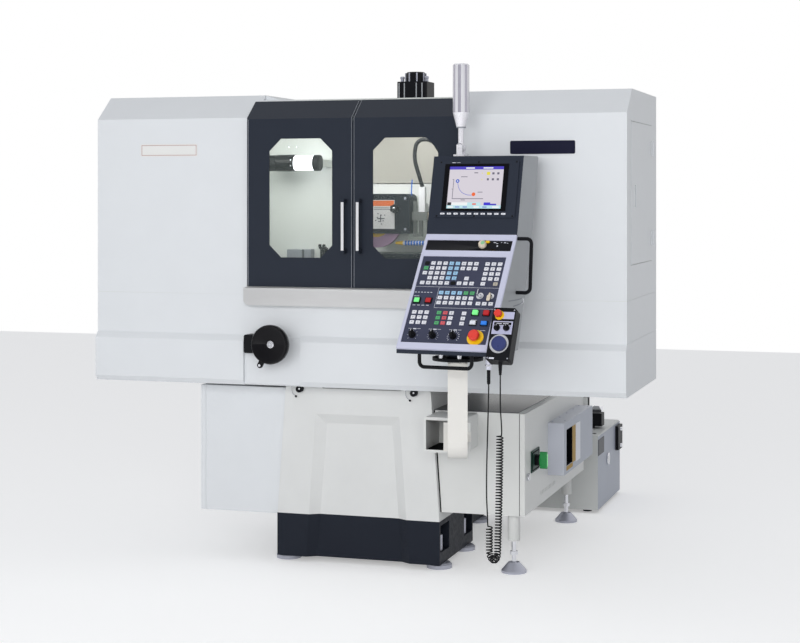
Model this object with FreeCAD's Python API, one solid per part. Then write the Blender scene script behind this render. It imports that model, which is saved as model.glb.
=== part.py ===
import FreeCAD, Part
import math
import os

# Column-type surface grinder with a full sliding-door enclosure, a front pedestal, an electrical
# cabinet with a cooler, a coolant tank behind it and an operator pendant on a swinging arm.
# Millimetres, +Z up, +Y to the back, +X to the operator's right. The pieces are laid out from the
# middle of the casing's front face at floor level; the last step moves the whole to the bottom
# centre of its own box.

V = FreeCAD.Vector

# Enclosure
casing_width = 2160.0
casing_half = casing_width / 2
casing_depth = 698.0
casing_bottom = 707.0
seam_low = 906.0
seam_high = 1062.0
roof_height = 1853.0
fold_rise = 94.0
fold_height = roof_height - fold_rise
roof_step = 21.0
middle_roof = roof_height - roof_step
roof_ramp = 69.0
fold_back = 116.0
sheet = 3.0
seam_width = 3.0
seam_depth = 1.2
entry_left = -395.0
entry_right = 417.0
overrun = 5.0

# Pedestal and plinth
base_front = 95.0
base_back = 592.0
base_half_top = 299.0
base_half_low = 335.0
plinth_half = 336.0
plinth_bottom = 22.0
plinth_top = 191.0
rear_base_half = 240.0
rear_base_reach = 482.0
rear_base_back = casing_depth + rear_base_reach
recess_top = 590.0
recess_half_top = 173.0
recess_half_floor = 214.0
recess_depth = 24.0
recess_bevel = 38.0
bed_half = 420.0
bed_front = 20.0
bed_bottom = 745.0
bed_top = 900.0
bed_setback = 8.0
bed_back = casing_depth - bed_setback
way_setback = 28.0
way_back = bed_back - way_setback
slot_half = 162.0
slot_centre_x = 17.0
slot_height = 16.0
slot_depth = 30.0
corner_pocket_depth = 48.0
corner_pocket_start = 12.0
corner_pocket_length = 125.0
lug_thickness = 46.0
corner_pocket_height = 105.0
clamp_stud_radius = 13.0
clamp_stud_length = 24.0
clamp_stud_drop = 20.0
clamp_stud_x = 236.0

# Feet
pad_radius = 50.0
stud_radius = 12.0
stud_height = 128.0
foot_inset_x = 22.0
foot_inset_y = 74.0
stud_clearance = 1.0
cup_radius = 49.0
cup_top_radius = 22.0
cup_height = 40.0
cup_rim = 9.0
rod_radius = 9.0
leg_radius = 24.0
leg_bottom = 122.0
leg_front_x = 612.0
leg_front_y = 174.0
leg_back_x = 597.0
leg_back_y = 1227.0
lock_nut_height = 68.0
lock_nut_radius = 16.0
lock_nut_length = 14.0

# Side covers and cabinet
cover_left = -677.0
cover_bottom = 182.0
cover_top = 686.0
cover_front = 120.0
cover_back = 700.0
cover_seam_inset = 20.0
shadow_gap = 4.0
shadow_depth = 20.0
cabinet_right = 668.0
cabinet_front = 118.0
cabinet_back = 1285.0
cabinet_bottom = 226.0
cabinet_top = 619.0
cabinet_lip = 24.0
cabinet_door_thickness = 20.0
cabinet_door_gap = 1.5
door_clearance = 0.3
vent_count = 11
vent_start = 395.0
vent_pitch = 26.0
vent_width = 9.0
vent_height = 16.0
vent_bottom = 262.0
cooler_depth = 67.0
cooler_front = 526.0
cooler_back = 1127.0
cooler_bottom = 321.0
cooler_top = 533.0
grille_start = 46.0
grille_length = 117.0
grille_margin = 32.5
grille_depth = 22.0
switch_y = 284.0
switch_z = 419.0
switch_plate_half = 42.0
switch_plate_width = 133.0
switch_plate_thickness = 5.0
switch_hub_radius = 22.0
switch_hub_depth = 18.0
switch_grip_length = 66.0
switch_grip_width = 18.0
switch_grip_depth = 28.0
switch_shaft_radius = 5.0
running_gap = 0.05
latch_y = 156.0
latch_z = 372.0
latch_radius = 14.0
latch_depth = 10.0
latch_slot = 3.0
cabinet_hinge_radius = 8.0
cabinet_hinge_length = 70.0
plate_thickness = 3.0
plate_margin = 60.0
plate_standoff = 12.0
drive_count = 4
drive_width = 120.0
drive_depth = 190.0
drive_height = 240.0
drive_pitch = 170.0
drive_start = 90.0
duct_height = 40.0
duct_depth = 60.0

# Sliding doors and sill
door_front = -22.0
door_back = -6.0
door_skin = 4.0
door_bottom = 1096.0
door_top_back = 73.0
door_top_gap = 27.0
door_top = roof_height - door_top_gap
door_fold_rise = 74.0
door_fold = door_top - door_fold_rise
door_left_edge = -420.0
door_seam = 22.0
door_seam_gap = 2.0
door_right_edge = 446.0
door_rim = 24.0
door_corner_radius = 9.0
window_left_start = -324.0
window_left_end = -63.0
window_right_start = 103.0
window_right_end = 364.0
window_bottom = 1211.0
window_top_gap = 78.0
window_top = door_fold - window_top_gap
window_cut = 48.0
pane_thickness = 5.0
pane_setback = 5.0
pane_lap = 10.0
handle_x_left = -9.0
handle_x_right = 52.0
handle_bottom = 1230.0
handle_top = 1438.0
handle_width = 14.0
handle_thickness = 12.0
handle_reach = 36.0
handle_post = 16.0
sill_front = -45.0
sill_bottom = 1023.0
sill_top = 1092.0
sill_left = -424.0
sill_right = 452.0
sill_corner = 22.0
sill_thickness = 2.0
rail_thickness = 4.0
groove_depth = 5.0
runner_gap = 0.3

# Raised lower panels
panel_proud = 20.0
panel_bevel_top = 22.0
panel_bevel_bottom = 20.0
panel_left_end = -434.0
panel_right_start = -198.0
recess_panel_proud = 6.0
bottom_opening_margin = 12.0

# Work zone
column_half = 200.0
column_gap = 14.0
column_front = casing_depth + column_gap
column_depth = 328.0
column_back = column_front + column_depth
column_bottom = 720.0
column_top_gap = 15.0
column_top = middle_roof - column_top_gap
column_wall = 26.0
column_cover_half = 262.0
column_cover_gap = 26.0
column_cover_back = column_back + column_cover_gap
channel_half = 74.0
channel_depth = 262.0
guide_x = 130.0
guide_width = 34.0
guide_depth = 24.0
guide_bottom = 1040.0
motor_setback = 176.0
motor_y = column_front + motor_setback
motor_width = 136.0
motor_body_height = 129.0
motor_cap_radius = 43.0
motor_cap_height = 44.0
motor_cap_bevel = 6.0
motor_chamfer = 16.0
screw_radius = 16.0
screw_end_radius = 10.0
screw_journal = 30.0
wall_opening_half = 200.0
frame_drop = 12.0

wheel_radius = 102.5
wheel_width = 20.0
wheel_x = 16.0
wheel_y = 300.0
wheel_z = 1345.0
flange_radius = 46.0
flange_width = 14.0
spindle_radius = 25.0
head_half = 112.0
head_front = 362.0
head_gap = 72.0
head_back = column_front - head_gap
head_bottom = 1262.0
head_top = 1450.0
head_chamfer = 34.0
nose_radius = 58.0
carriage_half = 165.0
carriage_thickness = 38.0
carriage_bottom = 1200.0
carriage_top = 1500.0
nut_arm_half = 40.0
nut_arm_half_height = 45.0
nut_outer_radius = 34.0
nut_clearance = 0.06
guard_left = -134.0
guard_right = 168.0
guard_bottom = 1300.0
guard_top = 1459.0
guard_front = 246.0
guard_back = 352.0
guard_wall = 4.0
guard_corner = 22.0
guard_plate_left = -6.0
guard_plate_right = 106.0
guard_plate_bottom = 1319.0
guard_plate_top = 1434.0
guard_plate_thickness = 2.0
knob_radius = 17.0
knob_length = 24.0
knob_x = 111.0
knob_z = 1400.0
knob_stem_radius = 5.0
cover_half = 206.0
cover_thickness = 3.0
cover_step = 4.0
cover_steps = 5
cover_plate_share = 0.2123
cover_gap = 4.0
cover_lip = 3.0
lower_cover_height = 250.0
bar_width = 14.0
bar_left_x = 176.0
bar_right_x = 200.0
bar_y = 300.0
bar_top = 1430.0
bar_bottom = 1288.0
clamp_half = 24.0
clamp_bottom = 1352.0
clamp_top = 1387.0
manifold_half = 13.0
manifold_x = 208.0
manifold_top = 1486.0
nozzle_z = 1262.0
nozzle_segments = 9
nozzle_ball_radius = 10.0
nozzle_pitch = 12.0
nozzle_start_x = 236.0
nozzle_tip_length = 32.0
nozzle_tip_radius = 5.0
nozzle_bore_share = 0.45
hose_radius = 8.0
hose_crown = 1676.0
hose_crown_left = 184.0
hose_crown_right = 250.0
hose_side_x = 172.0
hose_side_z = 1602.0
hose_back_x = 285.0
hose_back_y = 330.0
hose_drop = 1368.0
hose_end_y = 420.0

rail_half_span = 180.0
rail_width = 34.0
rail_height = 28.0
cross_screw_height = 22.0
bearing_half = 28.0
bearing_length = 22.0
bearing_top = 938.0
saddle_half = 300.0
saddle_front = 120.0
saddle_back = 480.0
saddle_bottom = 940.0
saddle_top = 1000.0
cross_nut_length = 140.0
cross_nut_bottom = 904.0
table_runner_left = -110.0
table_runner_right = 40.0
runner_length = 90.0
runner_wall = 22.0
runner_top_gap = 0.3
table_left = -320.0
table_right = 440.0
table_front = 192.0
table_back = 408.0
table_bottom = 1040.0
table_top = 1110.0
table_gutter = 18.0
table_gutter_depth = 14.0
table_rail_front = 230.0
table_rail_back = 370.0
chuck_length = 450.0
chuck_centre_x = 60.0
chuck_front = 200.0
chuck_back = 400.0
chuck_top = 1222.0
chuck_pole_count = 22
chuck_pole_width = 4.0
chuck_pole_depth = 2.0
tray_bottom = 914.0
tray_rim = 1048.0
tray_margin = 14.0
tray_sheet = 2.0

lamp_radius = 34.0
lamp_left = -520.0
lamp_right = -352.0
lamp_setback = 138.0
lamp_y = casing_depth - lamp_setback
lamp_drop = 263.0
lamp_z = roof_height - lamp_drop
lamp_cap = 58.0
lamp_foot = 30.0

side_door_front = 88.0
side_door_back = 575.0
side_door_bottom = 1194.0
side_door_drop = 123.0
side_door_top = roof_height - side_door_drop
side_door_thickness = 16.0
side_door_gap = 2.0
side_door_proud = 2.0
side_frame = 14.0
side_hinge_radius = 6.0
side_hinge_length = 60.0
side_handle_y = 177.0
side_handle_drop = 234.0
side_handle_length = 91.0
side_handle_top = side_door_top - side_handle_drop
side_handle_bottom = side_handle_top - side_handle_length
side_handle_width = 26.0
side_handle_depth = 8.0

# Handwheel
wheel_centre_x = -287.0
wheel_centre_z = 877.0
hand_radius = 76.0
hand_back = -84.0
hand_depth = 36.0
hand_rim = 9.0
hub_radius = 20.0
hub_length = 30.0
shaft_radius = 9.0
crank_radius = 92.0
crank_lug_radius = 11.0
crank_thickness = 9.0
crank_angle = 242.0
crank_pin_radius = 6.0
crank_pin_length = 12.0
block_left = -415.0
block_right = -262.0
block_bottom = 837.0
block_top = 909.0
block_front = -62.0
block_corner = 8.0

# Arm bracket and pendant arm
tube_left = 321.0
tube_right = 482.0
tube_front = -74.0
tube_bottom = 486.0
tube_top = 617.0
tube_wall = 10.0
tube_corner = 6.0
arm_hinge_x = 502.0
arm_hinge_y = -82.0
hinge_radius = 7.0
hinge_pin_radius = 3.0
hinge_bottom = 498.0
hinge_top = 606.0
hinge_leaf = 3.0
hinge_fixed_length = 60.0
arm_open_angle = 15.4
arm_plate_width = 96.0
arm_plate_thickness = 6.0
arm_plate_setback = 2.0
arm_width = 70.0
arm_post_x = -43.0
arm_post_y = -344.0
arm_depth = 45.0
arm_bottom = 519.0
arm_top = 862.0
arm_bend_radius = 66.0
disc_radius = 90.0
disc_bottom = 872.0
disc_thickness = 12.0
disc_collar_radius = 34.0

# Pendant, in its own frame: x to the right, y to the back, z up, origin on the swivel axis
pendant_turn = -6.33
pendant_x = 552.0
pendant_y = -423.0
panel_width = 350.0
panel_length = 480.5
panel_lean = 35.33
head_length = 293.0
head_lean = 14.22
pendant_bottom = 902.0
panel_foot_y = -146.5
panel_foot_z = 920.7
head_thickness = 160.0
waist_thickness = 159.0
bottom_depth = 286.0
pendant_sheet = 3.0
panel_thickness = 8.0
frame_border = 16.0
pocket_depth = 3.0
strip_half = 164.0
strip_top = 25.0
strip_bottom = 70.0
board_half = 159.0
board_shift = -4.5
board_top = 95.0
board_bottom = 455.0
display_width = 312.0
display_shift = 5.5
display_height = 214.0
display_top = 17.5
display_thickness = 5.0
screen_width = 211.0
screen_height = 158.0
screen_top = 40.7
screen_border = 18.0
bezel_height = 3.0
key_width = 16.0
key_length = 13.0
key_height = 3.0
key_pitch_u = 23.6
key_pitch_v = 20.8
soft_key_count = 10
soft_key_width = 16.0
soft_key_length = 6.0
soft_key_drop = 218.0
soft_key_pitch = 26.2
lamp_key_width = 20.0
lamp_key_length = 18.0
knob_u_shares = (-0.396, -0.155, 0.086)
knob_v = 425.0
dial_knob_radius = 12.5
dial_knob_height = 16.0
dial_grip_width = 8.0
dial_grip_height = 10.0
dial_skirt_height = 4.0
switch_u = 90.0
switch_v = 258.0
key_switch_radius = 10.0
key_switch_height = 6.0
key_blade_width = 3.0
key_blade_length = 22.0
key_blade_reach = 24.0
button_left_u = 89.0
button_right_u = 130.0
button_v = 328.0
button_height = 9.0
button_travel = 4.0
stop_u = 110.0
stop_v = 427.0
stop_radius = 20.0
stop_stem_radius = 9.0
stop_height = 26.0
stop_cap_height = 15.0
stop_ring_radius = 30.0
stop_ring_height = 3.0
stop_travel = 6.0
well_depth = 12.0
well_clearance = 0.4
loop_radius = 6.5
side_loop_reach = 52.0
side_loop_top_y = 138.0
side_loop_top_z = 1299.0
side_loop_bottom_y = 120.0
side_loop_bottom_z = 1108.0
loop_bend = 18.0
low_loop_left = -92.0
low_loop_right = 103.0
low_loop_y = -130.0
low_loop_z = 857.0

# Signal tower on the pendant
tower_x = -99.0
tower_y = 280.0
tower_foot_half = 22.0
tower_foot_height = 8.0
tower_ear_thickness = 6.0
tower_ear_gap = 24.0
tower_ear_height = 44.0
tower_pivot_height = 30.0
tower_pin_radius = 5.0
tower_neck_radius = 10.5
tower_collar_radius = 17.0
tower_cone_bottom = 1706.0
tower_lens_bottom = 1760.0
tower_lens_radius = 31.0
tower_top = 1940.0
tower_bevel = 4.0

# Hand pendant
hand_x = 221.0
hand_width = 84.0
hand_length = 190.0
hand_thickness = 45.0
hand_lean = 25.0
hand_top_y = -119.0
hand_top_z = 1070.0
hand_corner = 8.0
hand_stop_u = -17.0
hand_stop_drop = 26.0
hand_stop_radius = 13.0
hand_stop_height = 24.0
selector_u = 17.0
selector_drop = 74.0
selector_radius = 11.0
selector_height = 14.0
hand_dial_drop = 132.0
hand_dial_radius = 26.0
hand_dial_height = 12.0
hand_ring_width = 8.0
hand_ring_height = 5.0
hook_width = 56.0
hook_length = 70.0
hook_thickness = 4.0
hook_flange = 56.0

# Curly cord between the pendant's socket and the hand pendant; its points are in the pendant's frame
cord_radius = 2.4
curl_radius = 10.5
curls = 56
socket_x = 154.0
socket_y = -100.0
socket_radius = 13.0
socket_length = 48.0
boot_radius = 7.5
boot_tip_radius = 4.5
boot_length = 50.0
hand_boot_x = 224.0
hand_boot_y = -174.0
hand_boot_top = 896.0
coil_top = (222.0, -172.0, 641.0)
coil_knee = (219.0, -171.0, 430.0)
coil_front_turn = (212.0, -169.0, 216.0)
coil_back_turn = (172.0, -140.0, 216.0)
coil_end = (171.5, -140.0, 322.0)
lead_straight = 90.0
lead_out = 12.0
lead_rise = 130.0
socket_straight = 12.0

# Coolant tank
tank_left = 120.0
tank_right = 699.0
tank_front = 1444.0
tank_back = 2016.0
tank_plinth_bottom = 15.0
tank_plinth_top = 93.0
tank_top = 350.0
tank_sheet = 3.0
tank_foot_radius = 20.0
tank_foot_inset = 60.0
tank_lid_thickness = 6.0
tank_lid_margin = 14.0
pump_x = 556.0
pump_y = 1700.0
pump_radius = 54.0
pump_height = 170.0
pump_flange_radius = 80.0
pump_flange_height = 12.0
terminal_half = 34.0
terminal_height = 60.0
fitting_x = 636.0
fitting_y = 1795.0
fitting_radius = 20.0
fitting_height = 90.0
elbow_radius = 14.0
elbow_reach = 52.0
gauge_y = 1686.0
gauge_z = 216.0
gauge_radius = 28.0
gauge_depth = 7.0
tag_front = 1450.0
tag_back = 1590.0
tag_bottom = 262.0
tag_top = 335.0
tag_thickness = 2.0
fan_front = 1890.0
fan_length = 110.0
fan_depth = 16.0
fan_bottom = 225.0
fan_top = 340.0
fan_bolt_radius = 9.0
fan_bolt_length = 8.0

# Bare name plates on the casing
badge_left_start = -887.0
badge_right_start = 639.0
badge_length = 248.0
badge_drop = 151.0
badge_bottom = fold_height - badge_drop
badge_height = 50.0
badge_thickness = 2.0
badge_corner = 6.0


def block(x0, x1, y0, y1, z0, z1):
    return Part.makeBox(x1 - x0, y1 - y0, z1 - z0, V(x0, y0, z0))


def round_bar(radius, base, axis, length):
    return Part.makeCylinder(radius, length, V(*base), V(*axis))


def slab(points, direction):
    wire = Part.makePolygon([V(*p) for p in points] + [V(*points[0])])
    return Part.Face(wire).extrude(V(*direction))


def slab_xz(points, y0, y1):
    return slab([(x, y0, z) for x, z in points], (0, y1 - y0, 0))


def slab_yz(points, x0, x1):
    return slab([(x0, y, z) for y, z in points], (x1 - x0, 0, 0))


def slab_xy(points, z0, z1):
    return slab([(x, y, z0) for x, y in points], (0, 0, z1 - z0))


def join(shapes):
    result = shapes[0]
    if len(shapes) > 1:
        result = result.fuse(shapes[1:])
    return result.removeSplitter()


def carve(shape, tools):
    for tool in tools:
        shape = shape.cut(tool)
    return shape


def group(shapes):
    return Part.makeCompound([solid for shape in shapes for solid in shape.Solids])


def soften(shape, radius, axis, wanted):
    # Rounds the straight edges that run along an axis and whose middle passes the test.
    picked = []
    for edge in shape.Edges:
        if edge.Curve.TypeId != "Part::GeomLine":
            continue
        run = (edge.Vertexes[-1].Point - edge.Vertexes[0].Point).normalize()
        if abs(abs(run.dot(V(*axis))) - 1) < 1e-6 and wanted(edge.CenterOfMass):
            picked.append(edge)
    return shape.makeFillet(radius, picked) if picked else shape


def everywhere(point):
    return True


def base_half(z):
    share = (casing_bottom - z) / (casing_bottom - plinth_top)
    return base_half_top + (base_half_low - base_half_top) * share


def base_outline(z0, z1, grow=0.0):
    low, high = base_half(z0) + grow, base_half(z1) + grow
    return [(-low, z0), (low, z0), (high, z1), (-high, z1)]


def front_recess():
    # The pedestal's recess, with bevelled sides, open at the bottom.
    rise = (recess_half_floor - recess_half_top) / (recess_top - plinth_bottom)
    drop = recess_half_floor + rise * overrun
    low = plinth_bottom - overrun

    def ring(y, inset):
        points = [(-drop + inset, y, low), (drop - inset, y, low),
                  (recess_half_top - inset, y, recess_top - inset),
                  (-recess_half_top + inset, y, recess_top - inset)]
        return Part.makePolygon([V(*p) for p in points] + [V(*points[0])])

    per_depth = recess_bevel / recess_depth
    return Part.makeLoft([ring(base_front - overrun, -overrun * per_depth),
                          ring(base_front + recess_depth, recess_bevel)], True, True)


def corner_pockets():
    # Side pockets at the plinth's front and back corners, where the levelling studs are reached.
    cuts = []
    for side in (-1, 1):
        outer = plinth_half + overrun
        inner = plinth_half - corner_pocket_depth
        x0, x1 = sorted((side * inner, side * outer))
        for y0 in (base_front + corner_pocket_start,
                   base_back - corner_pocket_start - corner_pocket_length):
            cuts.append(block(x0, x1, y0, y0 + corner_pocket_length, plinth_bottom + lug_thickness,
                              plinth_bottom + lug_thickness + corner_pocket_height))
    return cuts


def foot_places():
    front = base_front + foot_inset_y
    back = base_back - foot_inset_y
    x = plinth_half - foot_inset_x
    rear_x = rear_base_half - foot_inset_x
    rear_y = rear_base_back - foot_inset_y
    return [(-x, front), (x, front), (-x, back), (x, back), (-rear_x, rear_y), (rear_x, rear_y)]


def stud_holes(depth):
    return [round_bar(stud_radius + stud_clearance, (x, y, plinth_bottom - overrun), (0, 0, 1), depth)
            for x, y in foot_places()]


def make_base_casting():
    pedestal = slab_xz(base_outline(plinth_top, bed_bottom), base_front, base_back)
    rear = block(-rear_base_half, rear_base_half, base_back, rear_base_back, plinth_top, column_bottom)
    bed = block(-bed_half, bed_half, bed_front, bed_back, bed_bottom, bed_top)
    bed = soften(bed, sheet, (0, 1, 0), everywhere)
    ways = [block(side * rail_half_span - rail_width / 2, side * rail_half_span + rail_width / 2,
                  bed_front + overrun, way_back, bed_top, bed_top + rail_height)
            for side in (-1, 1)]
    bearings = [block(-bearing_half, bearing_half, y, y + bearing_length, bed_top, bearing_top)
                for y in (bed_front + overrun, way_back - bearing_length)]
    journal = round_bar(screw_end_radius + running_gap, (0, bed_front, cross_screw_z()), (0, 1, 0),
                        bed_back - bed_front)
    bearings = [bearing.cut(journal) for bearing in bearings]
    body = join([pedestal, rear, bed] + ways + bearings)
    slot = block(slot_centre_x - slot_half, slot_centre_x + slot_half, base_front - overrun,
                 base_front + slot_depth, casing_bottom - slot_height, casing_bottom)
    body = carve(body, [front_recess(), slot] + corner_pockets())
    studs = [round_bar(clamp_stud_radius, (side * clamp_stud_x, base_front,
                                           casing_bottom - clamp_stud_drop),
                       (0, -1, 0), clamp_stud_length) for side in (-1, 1)]
    return join([body] + studs)


def make_base_plinth():
    front = block(-plinth_half, plinth_half, base_front, base_back, plinth_bottom, plinth_top)
    rear = block(-rear_base_half, rear_base_half, base_back, rear_base_back, plinth_bottom, plinth_top)
    body = join([front, rear])
    return carve(body, [front_recess()] + corner_pockets() + stud_holes(stud_height + stud_clearance))


def threaded_foot(x, y):
    pad = round_bar(pad_radius, (x, y, 0), (0, 0, 1), plinth_bottom)
    pad = pad.makeChamfer(plinth_bottom / 3, [pad.Edges[0]])
    stud = round_bar(stud_radius, (x, y, plinth_bottom), (0, 0, 1), stud_height - plinth_bottom)
    return join([pad, stud])


def cup_foot(x, y):
    profile = [(0, 0), (cup_radius, 0), (cup_radius, cup_rim), (cup_top_radius, cup_height),
               (rod_radius, cup_height), (rod_radius, leg_bottom), (0, leg_bottom)]
    wire = Part.makePolygon([V(r, 0, z) for r, z in profile] + [V(0, 0, 0)])
    foot = Part.Face(wire).revolve(V(0, 0, 0), V(0, 0, 1), 360)
    nut = hexagon(lock_nut_radius, lock_nut_height, lock_nut_height + lock_nut_length)
    foot = foot.fuse(nut).removeSplitter()
    foot.translate(V(x, y, 0))
    return foot


def hexagon(radius, z0, z1):
    corners = [(radius * math.cos(math.radians(60 * i)), radius * math.sin(math.radians(60 * i)))
               for i in range(6)]
    return slab_xy(corners, z0, z1)


def make_levelling_feet():
    feet = [threaded_foot(x, y) for x, y in foot_places()]
    feet += [cup_foot(leg_front_x, leg_front_y), cup_foot(leg_back_x, leg_back_y)]
    return group(feet)


def make_left_side_cover():
    # Sheet box whose inner edge follows the pedestal's slope, open towards the pedestal.
    left, low, high = cover_left, cover_bottom, cover_top
    step = -plinth_half - door_clearance
    outer = [(left, low), (step, low), (step, plinth_top), (-base_half(plinth_top), plinth_top),
             (-base_half(high), high), (left, high)]
    inner = [(left + sheet, low + sheet), (-base_half(low) + overrun, low + sheet),
             (-base_half(high) + overrun, high - sheet), (left + sheet, high - sheet)]
    box = slab_xz(outer, cover_front, cover_back)
    room = slab_xz(inner, cover_front + sheet, cover_back - sheet)
    wide = overrun + shadow_gap
    shadow = slab_xz([(-base_half(low) - shadow_gap, low - overrun),
                      (-base_half(low) + wide, low - overrun),
                      (-base_half(high) + wide, high + overrun),
                      (-base_half(high) - shadow_gap, high + overrun)],
                     cover_front - overrun, cover_front + shadow_depth)
    seam_x = left + cover_seam_inset
    seam = block(seam_x, seam_x + seam_width, cover_front - overrun, cover_front + seam_depth,
                 low - overrun, high + overrun)
    return carve(box, [room, shadow, seam])


def make_electrical_cabinet():
    low, high = cabinet_bottom, cabinet_top
    side = cabinet_right - cabinet_door_thickness
    outer = [(base_half(low), low), (side, low), (side, high), (base_half(high), high)]
    inner = [(base_half(low) + sheet, low + sheet), (side + overrun, low + sheet),
             (side + overrun, high - sheet), (base_half(high) + sheet, high - sheet)]
    box = slab_xz(outer, cabinet_front, cabinet_back)
    room = slab_xz(inner, cabinet_front + sheet, cabinet_back - sheet)
    wide = shadow_gap + sheet / 2
    shadow = slab_xz([(base_half(low) - overrun, low - overrun), (base_half(low) + wide, low - overrun),
                      (base_half(high) + wide, high + overrun),
                      (base_half(high) - overrun, high + overrun)],
                     cabinet_front - overrun, cabinet_front + sheet / 2)
    shell = carve(box, [room, shadow])
    lip_low = block(side - sheet, side, cabinet_front + sheet, cabinet_back - sheet,
                    low + sheet, low + cabinet_lip)
    lip_high = block(side - sheet, side, cabinet_front + sheet, cabinet_back - sheet,
                     high - cabinet_lip, high - sheet)
    legs = [round_bar(leg_radius, (x, y, leg_bottom), (0, 0, 1), low - leg_bottom)
            for x, y in ((leg_front_x, leg_front_y), (leg_back_x, leg_back_y))]
    shell = join([shell, lip_low, lip_high] + legs)
    return group([shell] + cabinet_fittings())


def cabinet_fittings():
    # Mounting plate with the drives and the cable ducts, on the cabinet's inner wall.
    wall = base_half(cabinet_bottom) + sheet
    x0 = wall + plate_standoff
    y0, y1 = cabinet_front + plate_margin, cabinet_back - plate_margin
    z0, z1 = cabinet_bottom + plate_margin, cabinet_top - plate_margin
    plate = block(x0, x0 + plate_thickness, y0, y1, z0, z1)
    posts = []
    for y in (y0 + plate_margin, y1 - plate_margin):
        for z in (z0 + plate_standoff, z1 - plate_standoff):
            start = base_half(z) + sheet - sheet / 2
            posts.append(round_bar(plate_thickness, (start, y, z), (1, 0, 0), x0 - start))
    face = x0 + plate_thickness
    middle = (z0 + z1) / 2
    drives = []
    for i in range(drive_count):
        y = y0 + drive_start + i * drive_pitch
        drive = block(face, face + drive_depth, y, y + drive_width,
                      middle - drive_height / 2, middle + drive_height / 2 - duct_height)
        drives.append(soften(drive, plate_thickness, (1, 0, 0), everywhere))
    duct = block(face, face + duct_depth, y0 + sheet, y1 - sheet,
                 middle + drive_height / 2 - duct_height + sheet, middle + drive_height / 2)
    return [join([plate] + posts)] + drives + [duct]


def cabinet_hinge_line():
    return cabinet_right + door_clearance + cabinet_hinge_radius, cabinet_back - cabinet_hinge_radius


def make_cabinet_door():
    x0, x1 = cabinet_right - cabinet_door_thickness + door_clearance, cabinet_right
    y0, y1 = cabinet_front, cabinet_back - 2 * cabinet_hinge_radius
    z0, z1 = cabinet_bottom + cabinet_door_gap, cabinet_top - cabinet_door_gap
    door = block(x0, x1, y0, y1, z0, z1)
    room = block(x0 - overrun, x1 - sheet, y0 + sheet, y1 - sheet, z0 + sheet, z1 - sheet)
    door = door.cut(room)
    vents = [block(x1 - sheet - overrun, x1 + overrun, vent_start + i * vent_pitch,
                   vent_start + i * vent_pitch + vent_width, vent_bottom, vent_bottom + vent_height)
             for i in range(vent_count)]
    hole = round_bar(switch_shaft_radius + running_gap, (x1 - sheet - overrun, switch_y, switch_z),
                     (1, 0, 0), sheet + switch_plate_thickness + 2 * overrun)
    latch_hole = round_bar(latch_radius / 2 + running_gap, (x1 - sheet - overrun, latch_y, latch_z),
                           (1, 0, 0), sheet + 2 * overrun)
    plate = block(x1, x1 + switch_plate_thickness, switch_y - switch_plate_width / 2,
                  switch_y + switch_plate_width / 2, switch_z - switch_plate_half,
                  switch_z + switch_plate_half)
    hinge_x, hinge_y = cabinet_hinge_line()
    knuckles = []
    for z in (z0 + cabinet_hinge_length, z1 - 2 * cabinet_hinge_length):
        barrel = round_bar(cabinet_hinge_radius, (hinge_x, hinge_y, z), (0, 0, 1), cabinet_hinge_length)
        leaf = block(x1 - sheet, hinge_x, y1 - sheet, hinge_y, z, z + cabinet_hinge_length)
        knuckles += [barrel, leaf]
    body = join([door] + knuckles)
    return group([carve(body, vents + [hole, latch_hole]), plate.cut(hole)])


def make_heat_exchanger():
    x0, x1 = cabinet_right, cabinet_right + cooler_depth
    box = block(x0, x1, cooler_front, cooler_back, cooler_bottom, cooler_top)
    box = soften(box, sheet, (1, 0, 0), everywhere)
    y0 = cooler_front + grille_start
    return box.cut(block(x1 - grille_depth, x1 + overrun, y0, y0 + grille_length,
                         cooler_bottom + grille_margin, cooler_top - grille_margin))


def make_main_switch_handle():
    face = cabinet_right + switch_plate_thickness
    hub = round_bar(switch_hub_radius, (face, switch_y, switch_z), (1, 0, 0), switch_hub_depth)
    shaft = round_bar(switch_shaft_radius, (cabinet_right - sheet - overrun, switch_y, switch_z),
                      (1, 0, 0), face - cabinet_right + sheet + overrun)
    grip = block(face + switch_hub_depth, face + switch_hub_depth + switch_grip_depth,
                 switch_y - switch_grip_width / 2, switch_y + switch_grip_width / 2,
                 switch_z - switch_grip_length / 2, switch_z + switch_grip_length / 2)
    grip = soften(grip, switch_grip_width / 3, (1, 0, 0), everywhere)
    return join([hub, shaft, grip])


def make_door_latch():
    head = round_bar(latch_radius, (cabinet_right, latch_y, latch_z), (1, 0, 0), latch_depth)
    slot = block(cabinet_right + latch_depth / 2, cabinet_right + latch_depth + overrun,
                 latch_y - latch_slot, latch_y + latch_slot, latch_z - latch_radius,
                 latch_z + latch_radius)
    stem = round_bar(latch_radius / 2, (cabinet_right - sheet - overrun, latch_y, latch_z),
                     (1, 0, 0), sheet + overrun)
    return join([head.cut(slot), stem])


def casing_profile(inset, bottom):
    # Side view of the upper casing: front, sloped fold, roof and back.
    run, rise = fold_back, roof_height - fold_height
    corner = math.hypot(run, rise)
    drop = inset * (corner - run) / rise
    step = inset * (corner - rise) / run
    return [(inset, bottom), (inset, fold_height - step), (fold_back + drop, roof_height - inset),
            (casing_depth - inset, roof_height - inset), (casing_depth - inset, bottom)]


def seam_ring(z, x0, x1):
    # Cuts the shallow groove that shows where two sheets of the casing meet.
    low, high = z - seam_width / 2, z + seam_width / 2
    outer = block(x0 - overrun, x1 + overrun, -overrun, casing_depth + overrun, low, high)
    inner = block(x0 + seam_depth, x1 - seam_depth, seam_depth, casing_depth - seam_depth, low, high)
    return outer.cut(inner)


def badge(start):
    plate = block(start, start + badge_length, -badge_thickness, 0, badge_bottom,
                  badge_bottom + badge_height)
    return soften(plate, badge_corner, (0, 1, 0), everywhere)


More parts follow.
